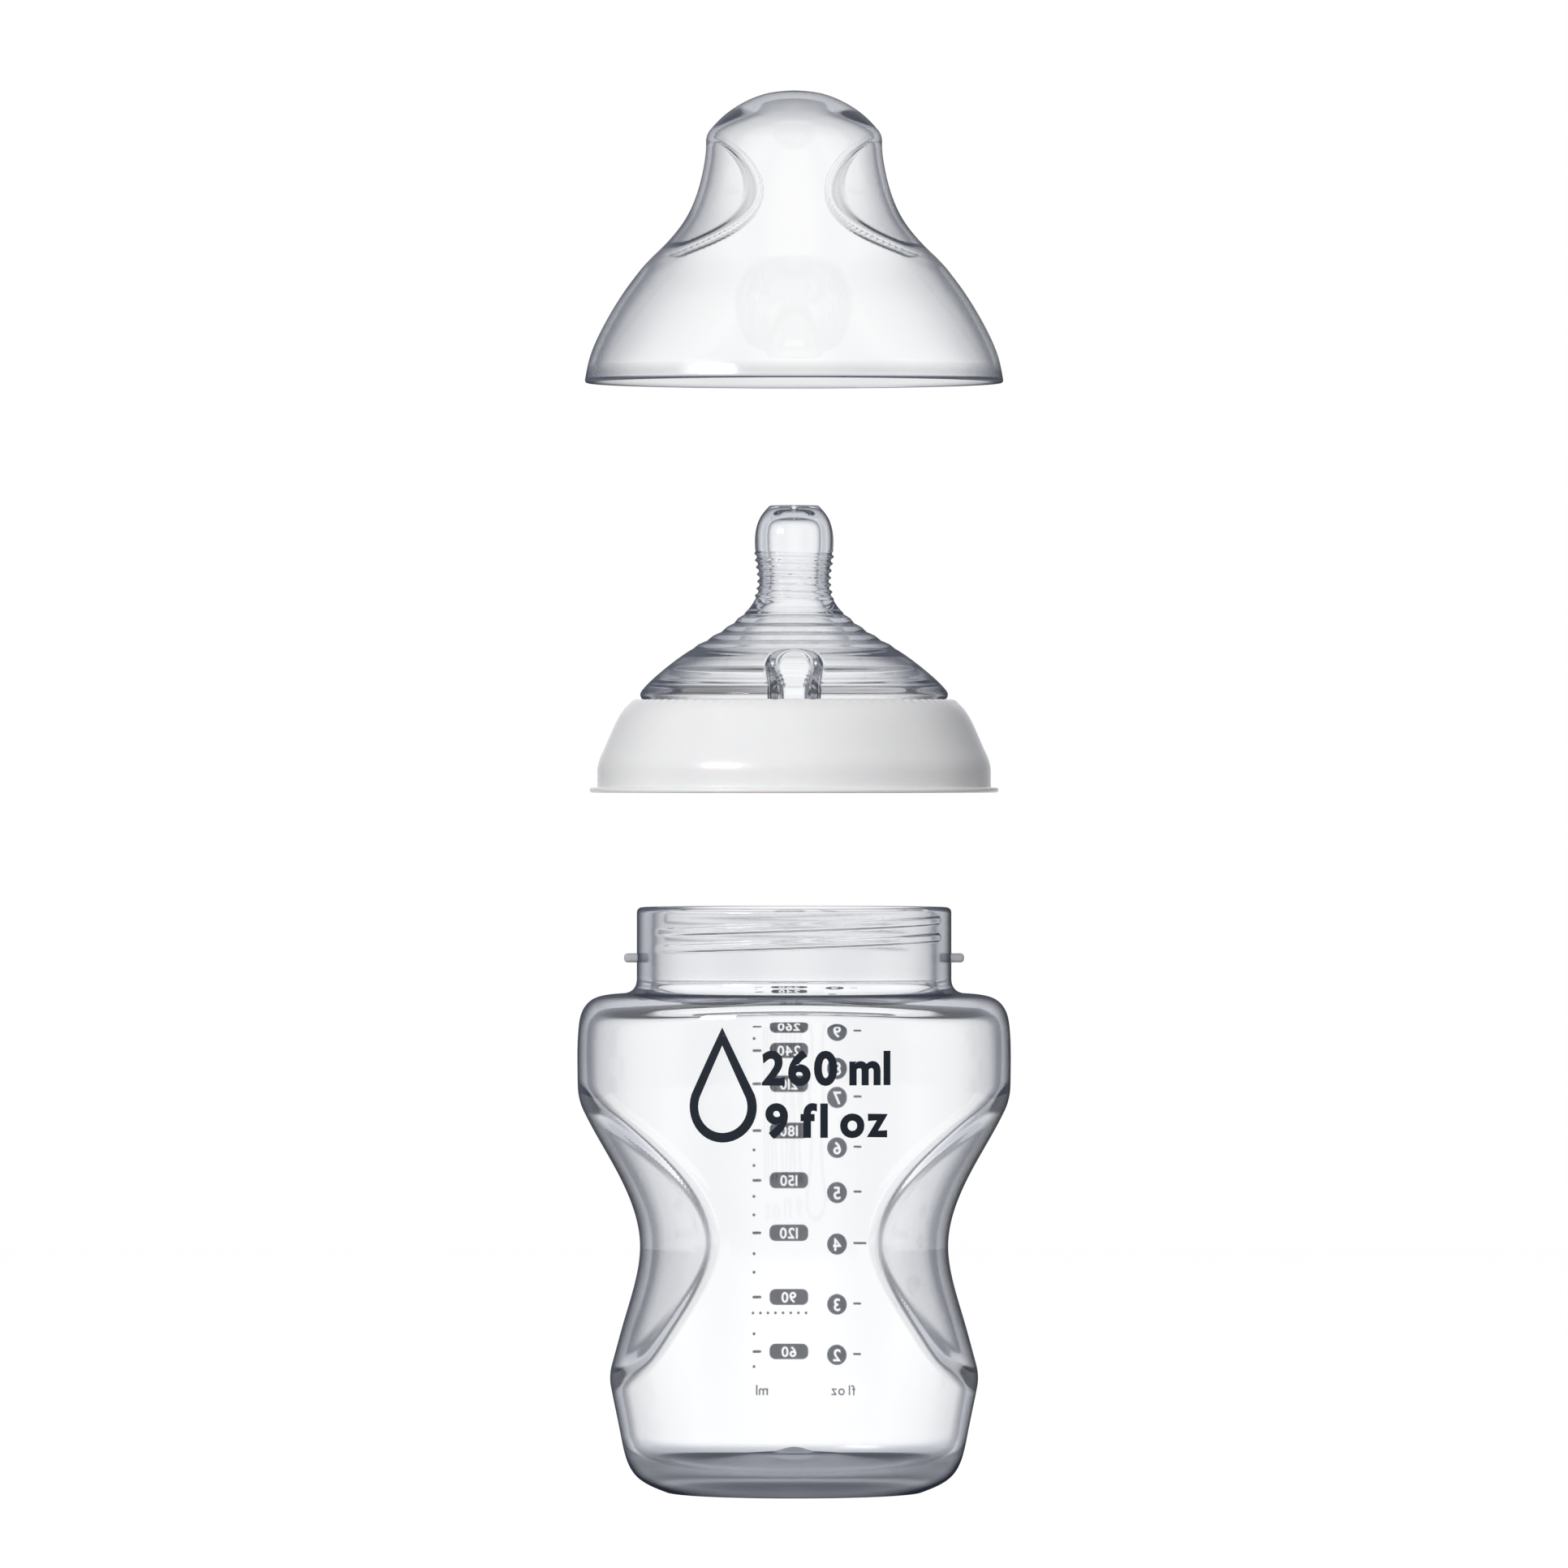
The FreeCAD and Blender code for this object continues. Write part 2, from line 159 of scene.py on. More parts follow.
def turned_mesh(name, outline, around, radius_at, base, closed):
    """A mesh turned about the upright axis. The outline is a list of (radius, height, side),
    where side is 0 outside and 1 inside, and radius_at gives the radii all round at one
    outline point, so the section need not be a circle."""
    angles = np.linspace(0.0, 2 * math.pi, around, endpoint=False)
    verts = []
    rows = []
    for radius, height, side in outline:
        if radius < ON_AXIS:
            rows.append([len(verts)])
            verts.append((0.0, 0.0, (base + height) * MM))
            continue
        radii, heights = radius_at(radius, height, side, angles)
        start = len(verts)
        for r, z, angle in zip(radii, heights, angles):
            verts.append((r * math.cos(angle) * MM, r * math.sin(angle) * MM, (base + z) * MM))
        rows.append(list(range(start, start + around)))
    pairs = list(zip(rows[:-1], rows[1:]))
    if closed:
        pairs.append((rows[-1], rows[0]))
    faces = []
    for lower, upper in pairs:
        if len(lower) == 1 and len(upper) == 1:
            continue
        for j in range(around):
            k = (j + 1) % around
            if len(lower) == 1:
                faces.append((lower[0], upper[k], upper[j]))
            elif len(upper) == 1:
                faces.append((lower[j], lower[k], upper[0]))
            else:
                faces.append((lower[j], lower[k], upper[k], upper[j]))
    mesh = bpy.data.meshes.new(name)
    mesh.from_pydata(verts, [], faces)
    mesh.validate()
    mesh.shade_smooth()
    return add_object(name, mesh)


def with_side(points, side):
    """Marks outline points as outside (0) or inside (1)."""
    return [(max(0.0, radius), height, side) for radius, height in points]


def dent_radius(width, offset, angles):
    """Polar radius of a finger dent: a circle whose centre stands beyond the axis."""
    across = np.abs(np.cos(angles))
    away = np.sin(angles)
    reach = offset + width
    return -offset * across + np.sqrt(np.maximum(reach * reach - (offset * away) ** 2, 0.0))


class Dent:
    """A pair of finger dents. The points are half width against height. Each dent turns about
    an upright axis off centre on its far side, and the offset falls with the square of the
    distance above and below the narrowest height. The band inside its border is steeper than
    the rest. The softness of the border is given for its ends and for its sides, and a low bead
    stands outside it."""

    STEP = 0.4
    BAND = 0.25
    BAND_SOFTNESS = 0.12
    SHALLOW = 0.2
    DEEP = 1.5
    BEAD_STARTS = 0.6
    BEAD_FULL = 2.0
    INNER_BEAD = 0.5

    def __init__(self, points, offset, fall, wall, steepness, softness, bead_height, bead_width):
        curve = smooth_curve(points, self.STEP)
        order = np.argsort([height for width, height in curve])
        self.heights = np.array([height for width, height in curve])[order]
        self.widths = np.array([width for width, height in curve])[order]
        self.middle = self.heights[np.argmin(self.widths)]
        self.offset = offset
        self.fall = fall
        self.wall = wall
        self.steepness = steepness
        self.softness = softness
        self.bead_height = bead_height
        self.bead_width = bead_width

    def press(self, radius, height, side, angles):
        """Radii all round, pressed in where the dents are, with a bead along their border."""
        plain = np.full(len(angles), radius)
        if height < self.heights[0] or height > self.heights[-1]:
            return plain
        width = float(np.interp(height, self.heights, self.widths)) - side * self.wall
        deepest = radius - width
        away = height - self.middle
        offset = self.offset - self.fall[0 if away > 0 else 1] * away * away
        depth = plain - dent_radius(width, max(offset, self.offset / 2), angles)
        at_side = float(step_up(deepest, self.SHALLOW, self.DEEP))
        if deepest > self.SHALLOW:
            steepness = 1.0 + (self.steepness - 1.0) * at_side
            floor_slope = (1.0 - steepness * self.BAND) / (1.0 - self.BAND)
            share = depth / deepest
            rest = 1.0 - (1.0 - share) * floor_slope
            depth = deepest * smooth_min(steepness * share, rest, self.BAND_SOFTNESS)
        softness = self.softness[0] + (self.softness[1] - self.softness[0]) * at_side
        pressed = plain + smooth_min(-depth, np.zeros(len(angles)), softness)
        bead = np.exp(-((depth / self.bead_width + 1.0) ** 2))
        bead_height = self.bead_height * float(step_up(deepest, self.BEAD_STARTS, self.BEAD_FULL))
        return pressed + bead_height * bead * (self.INNER_BEAD if side else 1.0)


# ------------------------------------------------------------------ bottle

DENT_WALL = 2.15
NECK_RADIUS = 28.05
NECK_BORE = 25.45
NECK_STARTS = 91.5
RIM_ROUNDING = 0.9
FINE_STEP = 0.16
THREAD_LEAD = 6.0
THREAD_CENTRES = (-90.0, 90.0)
NECK_RIDGE_HEIGHTS = (101.0, 98.0)
NECK_RIDGE_DEPTH = 0.85
NECK_RIDGE_FLAT = 0.4
NECK_RIDGE_EDGE = 0.45
NECK_RIDGE_FADES_IN = (-64.0, -30.0)
NECK_RIDGE_STOPS = (64.5, 66.5)
NECK_RIDGES_FROM = 92.0
BOTTLE_SIDE = [(22.8, 0.0), (28.3, 3.0), (31.0, 10.5), (32.9, 20.0), (35.6, 44.3),
               (38.3, 66.0), (38.66, 76.0), (38.45, 82.9), (37.75, 85.9), (36.2, 87.75),
               (33.8, 88.62), (31.1, 88.88)]
SIDE_STEP = 0.55
BOTTLE_DENT = [(40.4, 74.5), (37.0, 66.9), (33.1, 59.9), (29.6, 53.0), (27.5, 44.3),
               (28.4, 37.4), (30.4, 30.4), (32.3, 23.5), (34.1, 17.0)]


def bottle_outline():
    """Foot, outer wall, neck, rim, then down inside to the floor."""
    rounding_starts = BOTTLE_TOP - RIM_ROUNDING
    outside = chain(
        smooth_curve([(0.0, 1.4), (11.1, 0.95), (20.2, 0.0)], 1.2),
        straight((20.2, 0.0), BOTTLE_SIDE[0], 0.9),
        smooth_curve(BOTTLE_SIDE, SIDE_STEP),
        smooth_curve([BOTTLE_SIDE[-1], (29.7, 89.1), (28.8, 89.6), (28.22, 90.5),
                      (NECK_RADIUS, NECK_STARTS)], 0.3),
        straight((NECK_RADIUS, NECK_STARTS), (NECK_RADIUS, rounding_starts), FINE_STEP),
        round_corner((NECK_RADIUS - RIM_ROUNDING, rounding_starts), RIM_ROUNDING, 0, 90, 6),
    )
    inside = chain(
        round_corner((NECK_BORE + RIM_ROUNDING, rounding_starts), RIM_ROUNDING, 90, 180, 6),
        straight((NECK_BORE, rounding_starts), (NECK_BORE, 90.6), 0.8),
        smooth_curve([(NECK_BORE, 90.6), (25.75, 89.1), (27.1, 87.7), (30.4, 87.3), (33.4, 87.05),
                      (35.2, 86.35), (36.3, 85.0), (36.9, 82.4), (37.06, 76.0), (36.7, 66.0),
                      (34.0, 44.3), (31.3, 20.0), (29.55, 11.4), (27.9, 6.2), (25.6, 4.3),
                      (22.4, 3.9), (16.5, 4.1), (11.0, 5.2), (6.6, 6.1), (3.4, 6.5), (1.3, 7.6),
                      (0.0, 7.9)], 0.6),
    )
    return with_side(outside, 0) + with_side(inside, 1)


BOTTLE_PRESS = Dent(BOTTLE_DENT, offset=23.0, fall=(0.012, 0.024), wall=DENT_WALL,
                    steepness=1.15, softness=(0.9, 0.9), bead_height=0.14, bead_width=0.55)
BOTTLE_LIMIT = 38.7
FRONT_SHOULDER = 1.3
SHOULDER_FROM = 79.0
SHOULDER_TO = 88.9


def neck_relief(height, angles):
    """How far the thread ridges stand out of the neck."""
    relief = np.zeros(len(angles))
    for centre in THREAD_CENTRES:
        away = degrees_from(angles, centre)
        window = step_up(away, *NECK_RIDGE_FADES_IN) * (1.0 - step_up(away, *NECK_RIDGE_STOPS))
        for middle in NECK_RIDGE_HEIGHTS:
            ridge = middle + THREAD_LEAD * away / 360.0
            profile = bump(height - ridge, NECK_RIDGE_FLAT, NECK_RIDGE_EDGE)
            relief = np.maximum(relief, NECK_RIDGE_DEPTH * window * profile)
    return relief


def bottle_radii(radius, height, side, angles):
    """Dents left and right, a squarer shoulder at the front and back, and the neck's ridges."""
    radii = np.minimum(BOTTLE_PRESS.press(radius, height, side, angles), BOTTLE_LIMIT)
    heights = np.full(len(angles), height)
    if radius > NECK_RADIUS and SHOULDER_FROM < height < SHOULDER_TO:
        lift = math.sin(math.pi * (height - SHOULDER_FROM) / (SHOULDER_TO - SHOULDER_FROM))
        heights = heights + FRONT_SHOULDER * lift * np.sin(angles) ** 4
    if side == 0 and height > NECK_RIDGES_FROM:
        radii = radii + neck_relief(height, angles)
    return radii, heights


# ------------------------------------------------------------------ teat

TEAT_HOLE = 0.45
# Each zone is its middle height, half its height and the height over which it fades.
TERRACE_ZONE = (19.4, 2.9, 0.9)
TERRACES_START = 15.9
TERRACE_PITCH = 1.55
TERRACE_DEPTH = 0.55
TERRACE_CREST = 0.62
TERRACE_SLOPE = 1.3
RIB_ZONE = (29.2, 3.4, 1.4)
RIB_PITCH = 1.25
RIB_DEPTH = 0.24
RIB_SHARPNESS = 0.35
INNER_SWELL_ZONE = (13.4, 0.6, 1.2)
INNER_SWELL = 0.45
INNER_PINCH_ZONE = (10.9, 0.3, 0.9)
INNER_PINCH = 0.25
VALVE_ANGLE = -90.0
VALVE_FLOOR = 20.2
VALVE_WALL = 1.6
VALVE_BETWEEN = (2.2, 16.5)
VALVE_OUTSIDE_RADIUS = 15.0
VALVE_WIDENS_FROM = 9.0
VALVE_HALF_WIDTH = 2.7
VALVE_ARCH_FROM = 12.2
VALVE_ARCH_HALF_WIDTH = 3.4
VALVE_ARCH_HEIGHT = 3.6
VALVE_LEAN = 1.6
VALVE_LEANS_BETWEEN = (12.5, 16.0)
VALVE_EDGE = 0.6
VALVE_EDGE_INSET = 0.45


def teat_outline():
    """Hole, inner skin, flange, groove, rim, cone and nipple, up to the dished tip."""
    inside = chain(
        [(TEAT_HOLE, 41.0), (TEAT_HOLE, 39.9)],
        smooth_curve([(TEAT_HOLE, 39.9), (2.4, 39.7), (4.1, 38.7), (4.75, 36.9), (4.8, 35.4),
                      (4.6, 31.8), (4.35, 28.3), (5.1, 25.0), (7.6, 22.1), (12.4, 18.3),
                      (17.8, 15.0), (22.3, 11.6), (24.3, 9.6)], 0.25),
        smooth_curve([(24.3, 9.6), (25.2, 9.0), (25.3, 7.9), (24.4, 6.4), (22.9, 4.6),
                      (22.4, 2.8), (22.4, 0.0)], 0.4),
    )
    outside = chain(
        straight((22.4, 0.0), (29.0, 0.0), 0.8),
        round_corner((29.0, 0.5), 0.5, 270, 360, 5),
        [(29.5, 1.05)],
        round_corner((29.0, 1.6), 0.5, 0, 90, 5),
        straight((29.0, 2.1), (24.9, 2.1), 0.6),
        round_corner((24.9, 2.6), 0.5, 270, 180, 4),
        straight((24.4, 2.6), (24.4, 4.1), 0.5),
        straight((24.4, 4.1), (26.7, 6.6), 0.5),
        smooth_curve([(26.7, 6.6), (27.45, 7.9), (26.7, 9.2), (23.95, 11.8), (19.5, 15.2),
                      (14.05, 18.5), (9.35, 21.9), (7.0, 24.9), (6.3, 28.4), (6.7, 31.8),
                      (7.0, 35.6), (6.65, 38.0), (5.75, 40.0), (4.75, 41.2)], 0.2),
        smooth_curve([(4.75, 41.2), (4.3, 41.6), (3.7, 41.65), (2.4, 41.3), (1.2, 41.05),
                      (TEAT_HOLE, 41.0)], 0.25),
    )
    return with_side(inside, 1) + with_side(outside, 0)[:-1]


def zone(height, middle, half, fade):
    """1 within half of the middle height, fading to 0 above and below."""
    return float(bump(height - middle, half, fade))


def cone_terraces(height):
    """How far the steps of the cone stand out at one height."""
    terrace = (height - TERRACES_START) / TERRACE_PITCH
    phase = terrace - math.floor(terrace)
    slope = 0.5 - abs(phase - TERRACE_CREST) * TERRACE_SLOPE
    return TERRACE_DEPTH * zone(height, *TERRACE_ZONE) * slope


def nipple_ribs(height, angles):
    """How far the spiral ribs of the nipple stand out."""
    turn = angles / (2 * math.pi)
    wave = np.cos(2 * math.pi * (height / RIB_PITCH + turn))
    return RIB_DEPTH * zone(height, *RIB_ZONE) * (wave + RIB_SHARPNESS * wave * wave)


def press_valve(radii, radius, height, side, angles):
    """Radii with the valve pocket pressed in at the front: straight sides under a round arch."""
    if height > VALVE_ARCH_FROM:
        rise = (height - VALVE_ARCH_FROM) / VALVE_ARCH_HEIGHT
        half = VALVE_ARCH_HALF_WIDTH * math.sqrt(max(0.0, 1.0 - rise ** 2))
    else:
        widening = float(step_up(height, VALVE_WIDENS_FROM, VALVE_ARCH_FROM))
        half = VALVE_HALF_WIDTH + (VALVE_ARCH_HALF_WIDTH - VALVE_HALF_WIDTH) * widening
    if half <= VALVE_EDGE / 2:
        return radii
    half = half + side * VALVE_WALL
    away = np.radians(degrees_from(angles, VALVE_ANGLE))
    mask = bump(away * radius, max(half - VALVE_EDGE_INSET, 0.05), VALVE_EDGE)
    lean = VALVE_LEAN * float(step_up(height, *VALVE_LEANS_BETWEEN))
    floor = VALVE_FLOOR - side * VALVE_WALL - lean
    pressed = np.minimum(radii, floor / np.maximum(np.cos(away), 0.3))
    return radii * (1 - mask) + pressed * mask


def teat_radii(radius, height, side, angles):
    """Adds the cone's steps, the nipple's spiral ribs and the valve pocket at the front."""
    radii = np.full(len(angles), radius)
    if side == 0:
        radii = radii + cone_terraces(height) + nipple_ribs(height, angles)
    else:
        radii = (radii + INNER_SWELL * zone(height, *INNER_SWELL_ZONE)
                 - INNER_PINCH * zone(height, *INNER_PINCH_ZONE))
    if VALVE_BETWEEN[0] < height < VALVE_BETWEEN[1] and radius > VALVE_OUTSIDE_RADIUS:
        radii = press_valve(radii, radius, height, side, angles)
    return radii, np.full(len(angles), height)


# ------------------------------------------------------------------ screw ring

RING_SCALLOPS = 80
SCALLOP_DEPTH = 0.13
SCALLOPS_FROM = 15.6
SCALLOPS_FULL = 16.5
RING_BORE = 29.7
RING_BORE_BETWEEN = (2.6, 11.85)
RING_RIDGE_DEPTH = 1.3
RING_RIDGE_FLAT = 0.25
RING_RIDGE_EDGE = 0.3
RING_RIDGE_HALF_ARC = 92.0
RING_RIDGE_FADE = 8.0
RING_CLOSED_BOTTOM = 94.61
RING_RIDGE_HEIGHT = NECK_RIDGE_HEIGHTS[0] - THREAD_LEAD / 4 - RING_CLOSED_BOTTOM


def ring_outline():
    """Flange bead, skirt, dome, top edge, lip, threaded bore, sleeve and the gap between."""
    bore_bottom, bore_top = RING_BORE_BETWEEN
    outside = chain(
        round_corner((36.02, 0.62), 0.46, 270, 450, 9),
        round_corner((35.4, 1.35), 0.3, 270, 180, 4),
        straight((35.1, 1.4), (35.1, 4.2), 0.6),
        smooth_curve([(35.1, 4.2), (34.95, 5.2), (33.95, 7.8), (32.1, 12.0), (30.1, 15.3),
                      (29.1, 16.3)], 0.5),
        smooth_curve([(29.1, 16.3), (28.6, 16.68), (28.1, 16.8), (27.75, 16.75)], 0.2),
        smooth_curve([(27.75, 16.75), (27.2, 16.3), (25.2, 14.25), (24.7, 13.7),
                      (24.65, 13.3)], 0.3),
        straight((24.65, 13.3), (24.65, bore_top), 0.5),
        straight((24.65, bore_top), (RING_BORE, bore_top), 0.8),
        straight((RING_BORE, bore_top), (RING_BORE, bore_bottom), FINE_STEP),
        straight((RING_BORE, bore_bottom), (31.2, bore_bottom), 0.5),
        straight((31.2, bore_bottom), (31.2, 8.6), 0.8),
        smooth_curve([(31.2, 8.6), (31.5, 8.9), (32.2, 8.2), (33.2, 5.8), (33.6, 4.4)], 0.5),
        straight((33.6, 4.4), (33.6, 0.5), 0.8),
        round_corner((33.9, 0.46), 0.3, 180, 270, 3),
        straight((33.9, 0.16), (36.02, 0.16), 0.6),
    )
    return with_side(outside, 0)[:-1]


def ring_radii(radius, height, side, angles):
    """Scallops along the opening, and the two thread ridges in the bore."""
    radii = np.full(len(angles), radius)
    heights = np.full(len(angles), height)
    if height > SCALLOPS_FROM:
        scallop = 0.5 - 0.5 * np.cos(angles * RING_SCALLOPS)
        share = float(step_up(height, SCALLOPS_FROM, SCALLOPS_FULL))
        heights = heights - SCALLOP_DEPTH * scallop * share
    if abs(radius - RING_BORE) < 0.01 and RING_BORE_BETWEEN[0] <= height <= RING_BORE_BETWEEN[1]:
        for centre in THREAD_CENTRES:
            away = degrees_from(angles, centre)
            window = bump(away, RING_RIDGE_HALF_ARC, RING_RIDGE_FADE)
            ridge = RING_RIDGE_HEIGHT + THREAD_LEAD * away / 360.0
            profile = bump(height - ridge, RING_RIDGE_FLAT, RING_RIDGE_EDGE)
            radii = radii - RING_RIDGE_DEPTH * window * profile
    return radii, heights


# ------------------------------------------------------------------ travel cap

CAP_WALL = 1.1
CAP_CROWN_EXTRA = 0.4
CAP_CROWN_BETWEEN = (45.0, 50.0)
CAP_RIM_RADIUS = 37.3
CAP_RIM_ROUNDING = 0.4
CAP_INNER_RIM = (36.15, 0.35)
CAP_INNER_FROM = 3.0
CAP_INNER_LEAST_RADIUS = 0.4
CAP_STEP = 0.5
CAP_DENT = [(19.0, 48.6), (16.0, 44.8), (15.7, 42.2), (16.2, 38.2), (17.2, 34.2), (19.3, 29.4),
            (23.0, 24.7), (25.5, 22.3), (30.2, 18.6)]
CAP_SKIRT = [(CAP_RIM_RADIUS, 0.6), (36.5, 4.4), (34.5, 9.2), (31.8, 14.0), (29.3, 17.7),
             (26.5, 21.5), (24.5, 25.2), (22.6, 29.8), (21.0, 34.2), (18.7, 39.5), (15.4, 44.6),
             (12.9, 47.35), (9.0, 50.05), (4.6, 51.7), (0.0, 52.2)]


def cap_outline():
    """Rim, bell and crown outside, then the same form a wall's thickness in."""
    skirt = smooth_curve(CAP_SKIRT, CAP_STEP)
    outside = chain(
        round_corner((CAP_RIM_RADIUS - CAP_RIM_ROUNDING, CAP_RIM_ROUNDING), CAP_RIM_ROUNDING,
                     270, 360, 4),
        skirt,
    )
    inner = []
    for number, (radius, height) in enumerate(skirt[1:-1], start=1):
        before = skirt[number - 1]
        after = skirt[number + 1]
        run = math.dist(before, after)
        wall = CAP_WALL + CAP_CROWN_EXTRA * float(step_up(height, *CAP_CROWN_BETWEEN))
        inner.append((radius - (after[1] - before[1]) / run * wall,
                      height - (before[0] - after[0]) / run * wall))
    inner = [(radius, height) for radius, height in reversed(inner)
             if radius > CAP_INNER_LEAST_RADIUS and height > CAP_INNER_FROM]
    inside = chain(
        [(0.0, inner[0][1])],
        inner,
        straight(inner[-1], CAP_INNER_RIM, CAP_STEP),
    )
    return with_side(outside, 0) + with_side(inside, 1)


CAP_PRESS = Dent(CAP_DENT, offset=6.6, fall=(0.0, 0.0), wall=CAP_WALL,
                 steepness=2.5, softness=(1.0, 0.3), bead_height=0.12, bead_width=0.2)


def cap_radii(radius, height, side, angles):
    """The cap's finger dents."""
    return CAP_PRESS.press(radius, height, side, angles), np.full(len(angles), height)


# ------------------------------------------------------------------ materials

def new_material(name):
    """A material with an empty node tree and its output."""
    material = bpy.data.materials.new(name)
    material.use_nodes = True
    tree = material.node_tree
    tree.nodes.clear()
    output = tree.nodes.new("ShaderNodeOutputMaterial")
    return material, tree, output


def add_node(tree, kind, values):
    """A shader node with the given input values."""
    node = tree.nodes.new("ShaderNode" + kind)
    for name, value in values.items():
        node.inputs[name].default_value = value
    return node


def ramp(tree, stops):
    """A colour ramp with the given (position, colour) stops."""
    node = tree.nodes.new("ShaderNodeValToRGB")
    elements = node.color_ramp.elements
    while len(elements) < len(stops):
        elements.new(0.5)
    for element, (position, colour) in zip(elements, stops):
        element.position = position
        element.color = (*colour, 1.0)
    return node


def noise(tree, scale, detail):
    """A noise texture in object space."""
    place = tree.nodes.new("ShaderNodeTexCoord")
    node = add_node(tree, "TexNoise", {"Scale": scale, "Detail": detail})
    tree.links.new(place.outputs["Object"], node.inputs["Vector"])
    return node


def math_node(tree, operation, first, second):
    """A maths node whose inputs are sockets or numbers."""
    node = tree.nodes.new("ShaderNodeMath")
    node.operation = operation
    for socket, value in zip(node.inputs, (first, second)):
        if isinstance(value, (int, float)):
            socket.default_value = value
        else:
            tree.links.new(value, socket)
    return node.outputs["Value"]


def mixed_shader(tree, share, first, second):
    """A mix of two shaders: the first at a share of 0 and the second at 1."""
    node = tree.nodes.new("ShaderNodeMixShader")
    tree.links.new(share, node.inputs["Fac"])
    tree.links.new(first, node.inputs[1])
    tree.links.new(second, node.inputs[2])
    return node.outputs["Shader"]


def mottle(tree, skin, texture, stops):
    """Colours a surface by a ramp over a noise texture."""
    shade = ramp(tree, stops)
    tree.links.new(texture.outputs["Fac"], shade.inputs["Fac"])
    tree.links.new(shade.outputs["Color"], skin.inputs["Base Color"])


def uneven(tree, skin, texture, strength, depth):
    """Gives a surface the relief of a noise texture, with its depth in metres."""
    relief = add_node(tree, "Bump", {"Strength": strength, "Distance": depth})
    tree.links.new(texture.outputs["Fac"], relief.inputs["Height"])
    tree.links.new(relief.outputs["Normal"], skin.inputs["Normal"])


def level_mask(tree, height, low, high):
    """Rises from 0 at a height of low to 1 at high, both in metres."""
    mask = add_node(tree, "MapRange", {"From Min": low, "From Max": high})
    tree.links.new(height, mask.inputs["Value"])
    return mask.outputs["Result"]


PLASTIC_IOR = 1.49
SILICONE_IOR = 1.41
# The slate grey of the painted shade on the clear pieces' outlines and zones.
EDGE_SHADE_GREY = (0.06, 0.07, 0.10, 1.0)
SHADOW_TINT = (0.93, 0.93, 0.935, 1.0)
DEPTH_TINT = (0.62, 0.66, 0.74, 1.0)
ROUGHNESS_SPREAD = (0.7, 1.3)
WAVE_DEPTH = 0.0006


def clear_material(name, ior, tint, edge_shade_stops, roughness, waviness, wave_scale, density, frosted):
    """A clear moulded material: it refracts, its outlines take a painted shade of slate grey where
    the wall turns away from view, thick places are a little darker, its surface is slightly
    uneven, and its shadow is light. The frosted zones are (height where it starts, height where it
    is full, roughness, grey); their grey adds to the same slate grey, and at the foot it is
    painted shade."""
    material, tree, output = new_material(name)
    skin = add_node(tree, "BsdfPrincipled", {"Base Color": (*tint, 1.0),
                                             "Transmission Weight": 1.0, "IOR": ior})
    cloud = noise(tree, 60.0, 3.0)
    rough = add_node(tree, "MapRange", {"To Min": roughness * ROUGHNESS_SPREAD[0],
                                        "To Max": roughness * ROUGHNESS_SPREAD[1]})
    tree.links.new(cloud.outputs["Fac"], rough.inputs["Value"])
    roughness_socket = rough.outputs["Result"]
    turned = add_node(tree, "LayerWeight", {"Blend": 0.5})
    facing_shade = ramp(tree, [(position, (share, share, share)) for position, share in edge_shade_stops])
    tree.links.new(turned.outputs["Facing"], facing_shade.inputs["Fac"])
    grey_socket = facing_shade.outputs["Color"]
    place = tree.nodes.new("ShaderNodeTexCoord")
    parts = tree.nodes.new("ShaderNodeSeparateXYZ")
    tree.links.new(place.outputs["Object"], parts.inputs["Vector"])
    for start, full, frost, milk in frosted:
        mask = level_mask(tree, parts.outputs["Z"], start * MM, full * MM)
        more = math_node(tree, "MULTIPLY", mask, frost)
        roughness_socket = math_node(tree, "ADD", roughness_socket, more)
        # A zone's grey adds to the slate grey; at the foot it is painted shade.
        more = math_node(tree, "MULTIPLY", mask, milk)
        grey_socket = math_node(tree, "ADD", grey_socket, more)
    tree.links.new(roughness_socket, skin.inputs["Roughness"])
    uneven(tree, skin, noise(tree, wave_scale, 1.0), waviness, WAVE_DEPTH)
    # Painted shade: slate grey mixed in where the wall turns away from view, and in the zones.
    grey = add_node(tree, "BsdfDiffuse", {"Color": EDGE_SHADE_GREY})
    body = mixed_shader(tree, grey_socket, skin.outputs["BSDF"], grey.outputs["BSDF"])
    through = add_node(tree, "BsdfTransparent", {"Color": SHADOW_TINT})
    path = tree.nodes.new("ShaderNodeLightPath")
    light_ray = math_node(tree, "MAXIMUM", path.outputs["Is Shadow Ray"],
                          path.outputs["Is Diffuse Ray"])
    tree.links.new(mixed_shader(tree, light_ray, body, through.outputs["BSDF"]),
                   output.inputs["Surface"])
    thick = add_node(tree, "VolumeAbsorption", {"Color": DEPTH_TINT, "Density": density})
    tree.links.new(thick.outputs["Volume"], output.inputs["Volume"])
    return material


def milky_plastic():
    """The same plastic on the neck's lugs: light grey, half see-through. The grey is painted
    shade, standing in for the shade that light bent through the small clear lugs gives.
    """
    material, tree, output = new_material("lug_grey_polypropylene")
    skin = add_node(tree, "BsdfPrincipled", {"Roughness": 0.3, "Transmission Weight": 0.4,
                                             "IOR": PLASTIC_IOR})
    # Painted shade: the lugs' grey, mottled at random.
    mottle(tree, skin, noise(tree, 300.0, 2.0),
           [(0.3, (0.52, 0.53, 0.55)), (0.7, (0.60, 0.61, 0.63))])
    tree.links.new(skin.outputs["BSDF"], output.inputs["Surface"])
    return material


